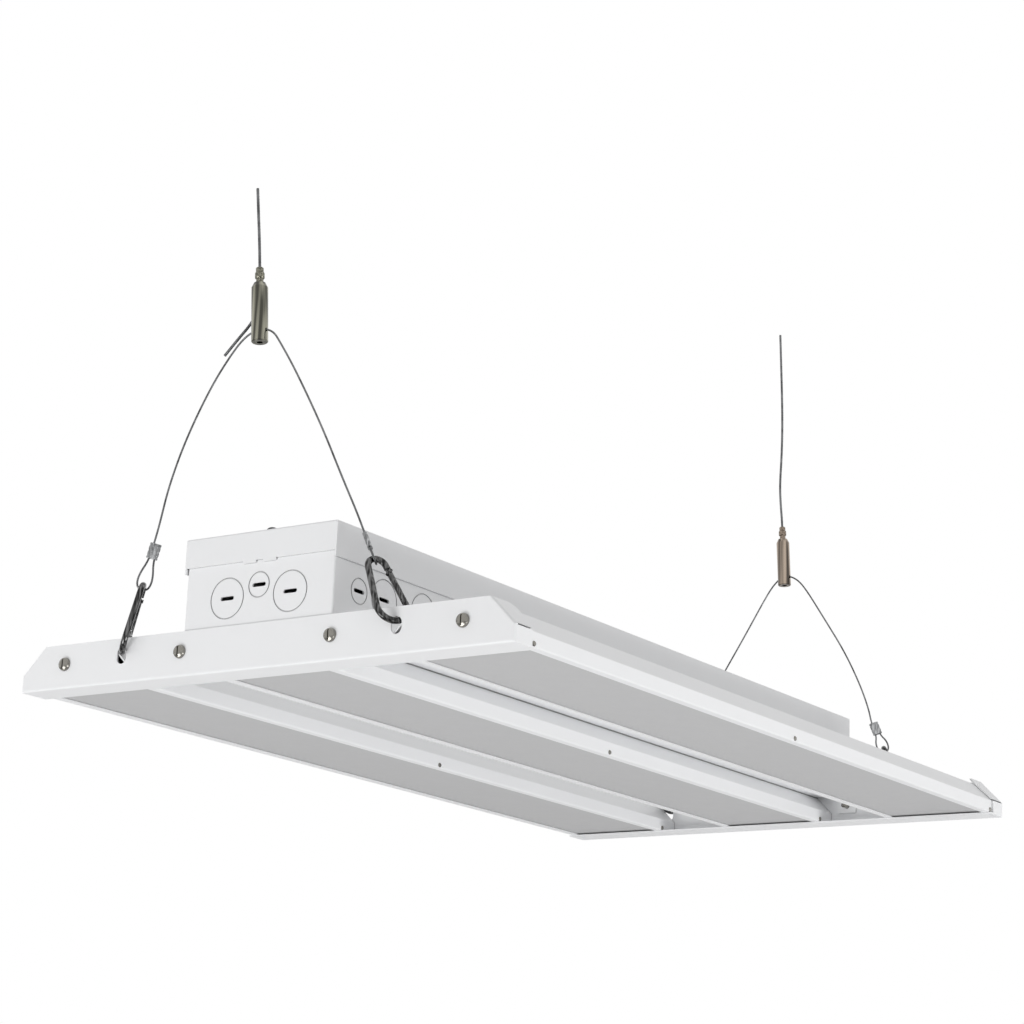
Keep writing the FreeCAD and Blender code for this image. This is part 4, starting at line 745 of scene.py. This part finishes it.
class HIGHBAY_OT_lenses(bpy.types.Operator):
    """Makes the frosted lenses, whose panels lie close over the bars' lips"""

    bl_idname = "highbay.lenses"
    bl_label = "Lenses"

    def execute(self, context):
        s = settings("fixture")
        frost = Finish("frosted lens", s.lens_colour, s.lens_roughness)
        frost.tint(frost.noise(0.0016, detail=4.0), 0.96, 1.03).roughen(frost.noise(0.01), 0.05)
        frost.bump(frost.noise(0.0007), 0.25, 0.0002)
        for bar in BARS:
            low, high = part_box(f"lens_{bar}")
            section = self.section(s, (high[1] - low[1]) / 2, high[2] - low[2])
            section += ((low[1] + high[1]) / 2, low[2])
            shape = carried(section, low[0], high[0])
            piece = new_piece(f"frosted_lens_{bar}", *shape, frost.material, "fixture")
            piece.data.shade_flat()
            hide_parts(f"lens_{bar}")
        return {"FINISHED"}

    def section(self, s, half, height):
        """A flat panel at the rise between two upright walls that stand on its feet: right wall, top of the
        panel, left wall, underside of the panel."""
        wall, rise = s.lens_wall, s.lens_rise
        right = np.array([(half - wall, 0), (half, 0), (half, height), (half - wall, height)])
        left = right[::-1] * (-1, 1)
        top = [(half - wall, rise + wall), (wall - half, rise + wall)]
        return np.concatenate([right, top, left, [(wall - half, rise), (half - wall, rise)]])


class HIGHBAY_OT_light_source(bpy.types.Operator):
    """Finishes the LED boards, their packages, the driver and the terminal block"""

    bl_idname = "highbay.light_source"
    bl_label = "Light source"

    def execute(self, context):
        s = settings("fixture")
        board = Finish("solder mask", s.board, 0.3)
        board.tint(board.noise(0.02), 0.97, 1.0)
        board.on(*[f"led_board_{bar}" for bar in BARS])
        phosphor = Finish("phosphor", s.phosphor, 0.25)
        phosphor.tint(phosphor.noise(0.0015), 0.9, 1.05)
        phosphor.on(*[f"led_packages_{bar}" for bar in BARS])
        case = Finish("driver case", s.driver, 0.4, 1.0)
        case.roughen(case.noise(0.01, stretch=(0.1, 1, 1)), 0.08)
        case.on("driver")
        block = Finish("terminal block", s.terminal, 0.45)
        block.bump(block.noise(0.001), 0.1, 0.0001)
        block.on("terminal_block")
        return {"FINISHED"}


class HIGHBAY_OT_screws(bpy.types.Operator):
    """Finishes the nickel-plated screws and the lid's dark ones"""

    bl_idname = "highbay.screws"
    bl_label = "Screws"

    def execute(self, context):
        s = settings("fixture")
        nickel = Finish("nickel screw", s.screw, 0.22, 1.0)
        nickel.tint(nickel.noise(0.002), 0.85, 1.1).roughen(nickel.noise(0.001), 0.06)
        nickel.set("Coat Weight", 0.5)
        nickel.on("plate_screws_near", "plate_screws_far", "box_to_bar_screws",
                  *[f"lens_screws_{bar}" for bar in BARS])
        dark = Finish("dark screw", s.dark_screw, 0.35, 1.0)
        dark.tint(dark.noise(0.0015), 0.7, 1.4).roughen(dark.noise(0.001), 0.08)
        low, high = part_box("lid_screws")
        head, lid = (high[1] - low[1]) / 2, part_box("driver_box_lid")[1][2]
        middle = (low[1] + high[1]) / 2
        dome = self.dome(s, head, low[2] - lid)
        shapes = [turned(dome, (x, middle, lid)) for x in (low[0] + head, high[0] - head)]
        piece = new_piece("domed_lid_screws", *joined(shapes), dark.material, "fixture")
        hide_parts("lid_screws")
        return {"FINISHED"}

    def dome(self, s, head, foot):
        """A thread from the foot up to the lid, and on it a head whose height is h sqrt(1 - (r / R)^2.4)."""
        radius = head * np.sin(np.linspace(np.pi / 2, 0.0, 14))
        dome = np.column_stack([radius, s.lid_screw_height * np.sqrt(1 - (radius / head) ** 2.4)])
        shank = [(0, foot), (s.lid_screw_thread, foot), (s.lid_screw_thread, 0), (0.97 * head, 0)]
        return np.concatenate([shank, dome])


class HIGHBAY_PT_panel(bpy.types.Panel):
    """Lists the light's pieces"""

    bl_idname = "HIGHBAY_PT_panel"
    bl_label = "High bay light"
    bl_space_type = "VIEW_3D"
    bl_region_type = "UI"
    bl_category = "High Bay"

    def draw(self, context):
        for operator in OPERATORS:
            self.layout.operator(operator.bl_idname)


GROUPS = {"stage": StageSettings, "fixture": FixtureSettings, "hanger": HangerSettings}
OPERATORS = (HIGHBAY_OT_stage, HIGHBAY_OT_ferrules, HIGHBAY_OT_springs, HIGHBAY_OT_wires,
             HIGHBAY_OT_hanger_metal, HIGHBAY_OT_sheet, HIGHBAY_OT_lenses, HIGHBAY_OT_light_source,
             HIGHBAY_OT_screws)


def register():
    for each in (*GROUPS.values(), *OPERATORS, HIGHBAY_PT_panel):
        bpy.utils.register_class(each)
    for name, group in GROUPS.items():
        setattr(bpy.types.Scene, f"high_bay_{name}", PointerProperty(type=group))


def unregister():
    for name in GROUPS:
        delattr(bpy.types.Scene, f"high_bay_{name}")
    for each in (HIGHBAY_PT_panel, *reversed(OPERATORS), *reversed(GROUPS.values())):
        bpy.utils.unregister_class(each)


def main():
    register()
    for operator in OPERATORS:
        getattr(bpy.ops.highbay, operator.bl_idname.split(".")[1])()


if __name__ == "__main__":
    main()
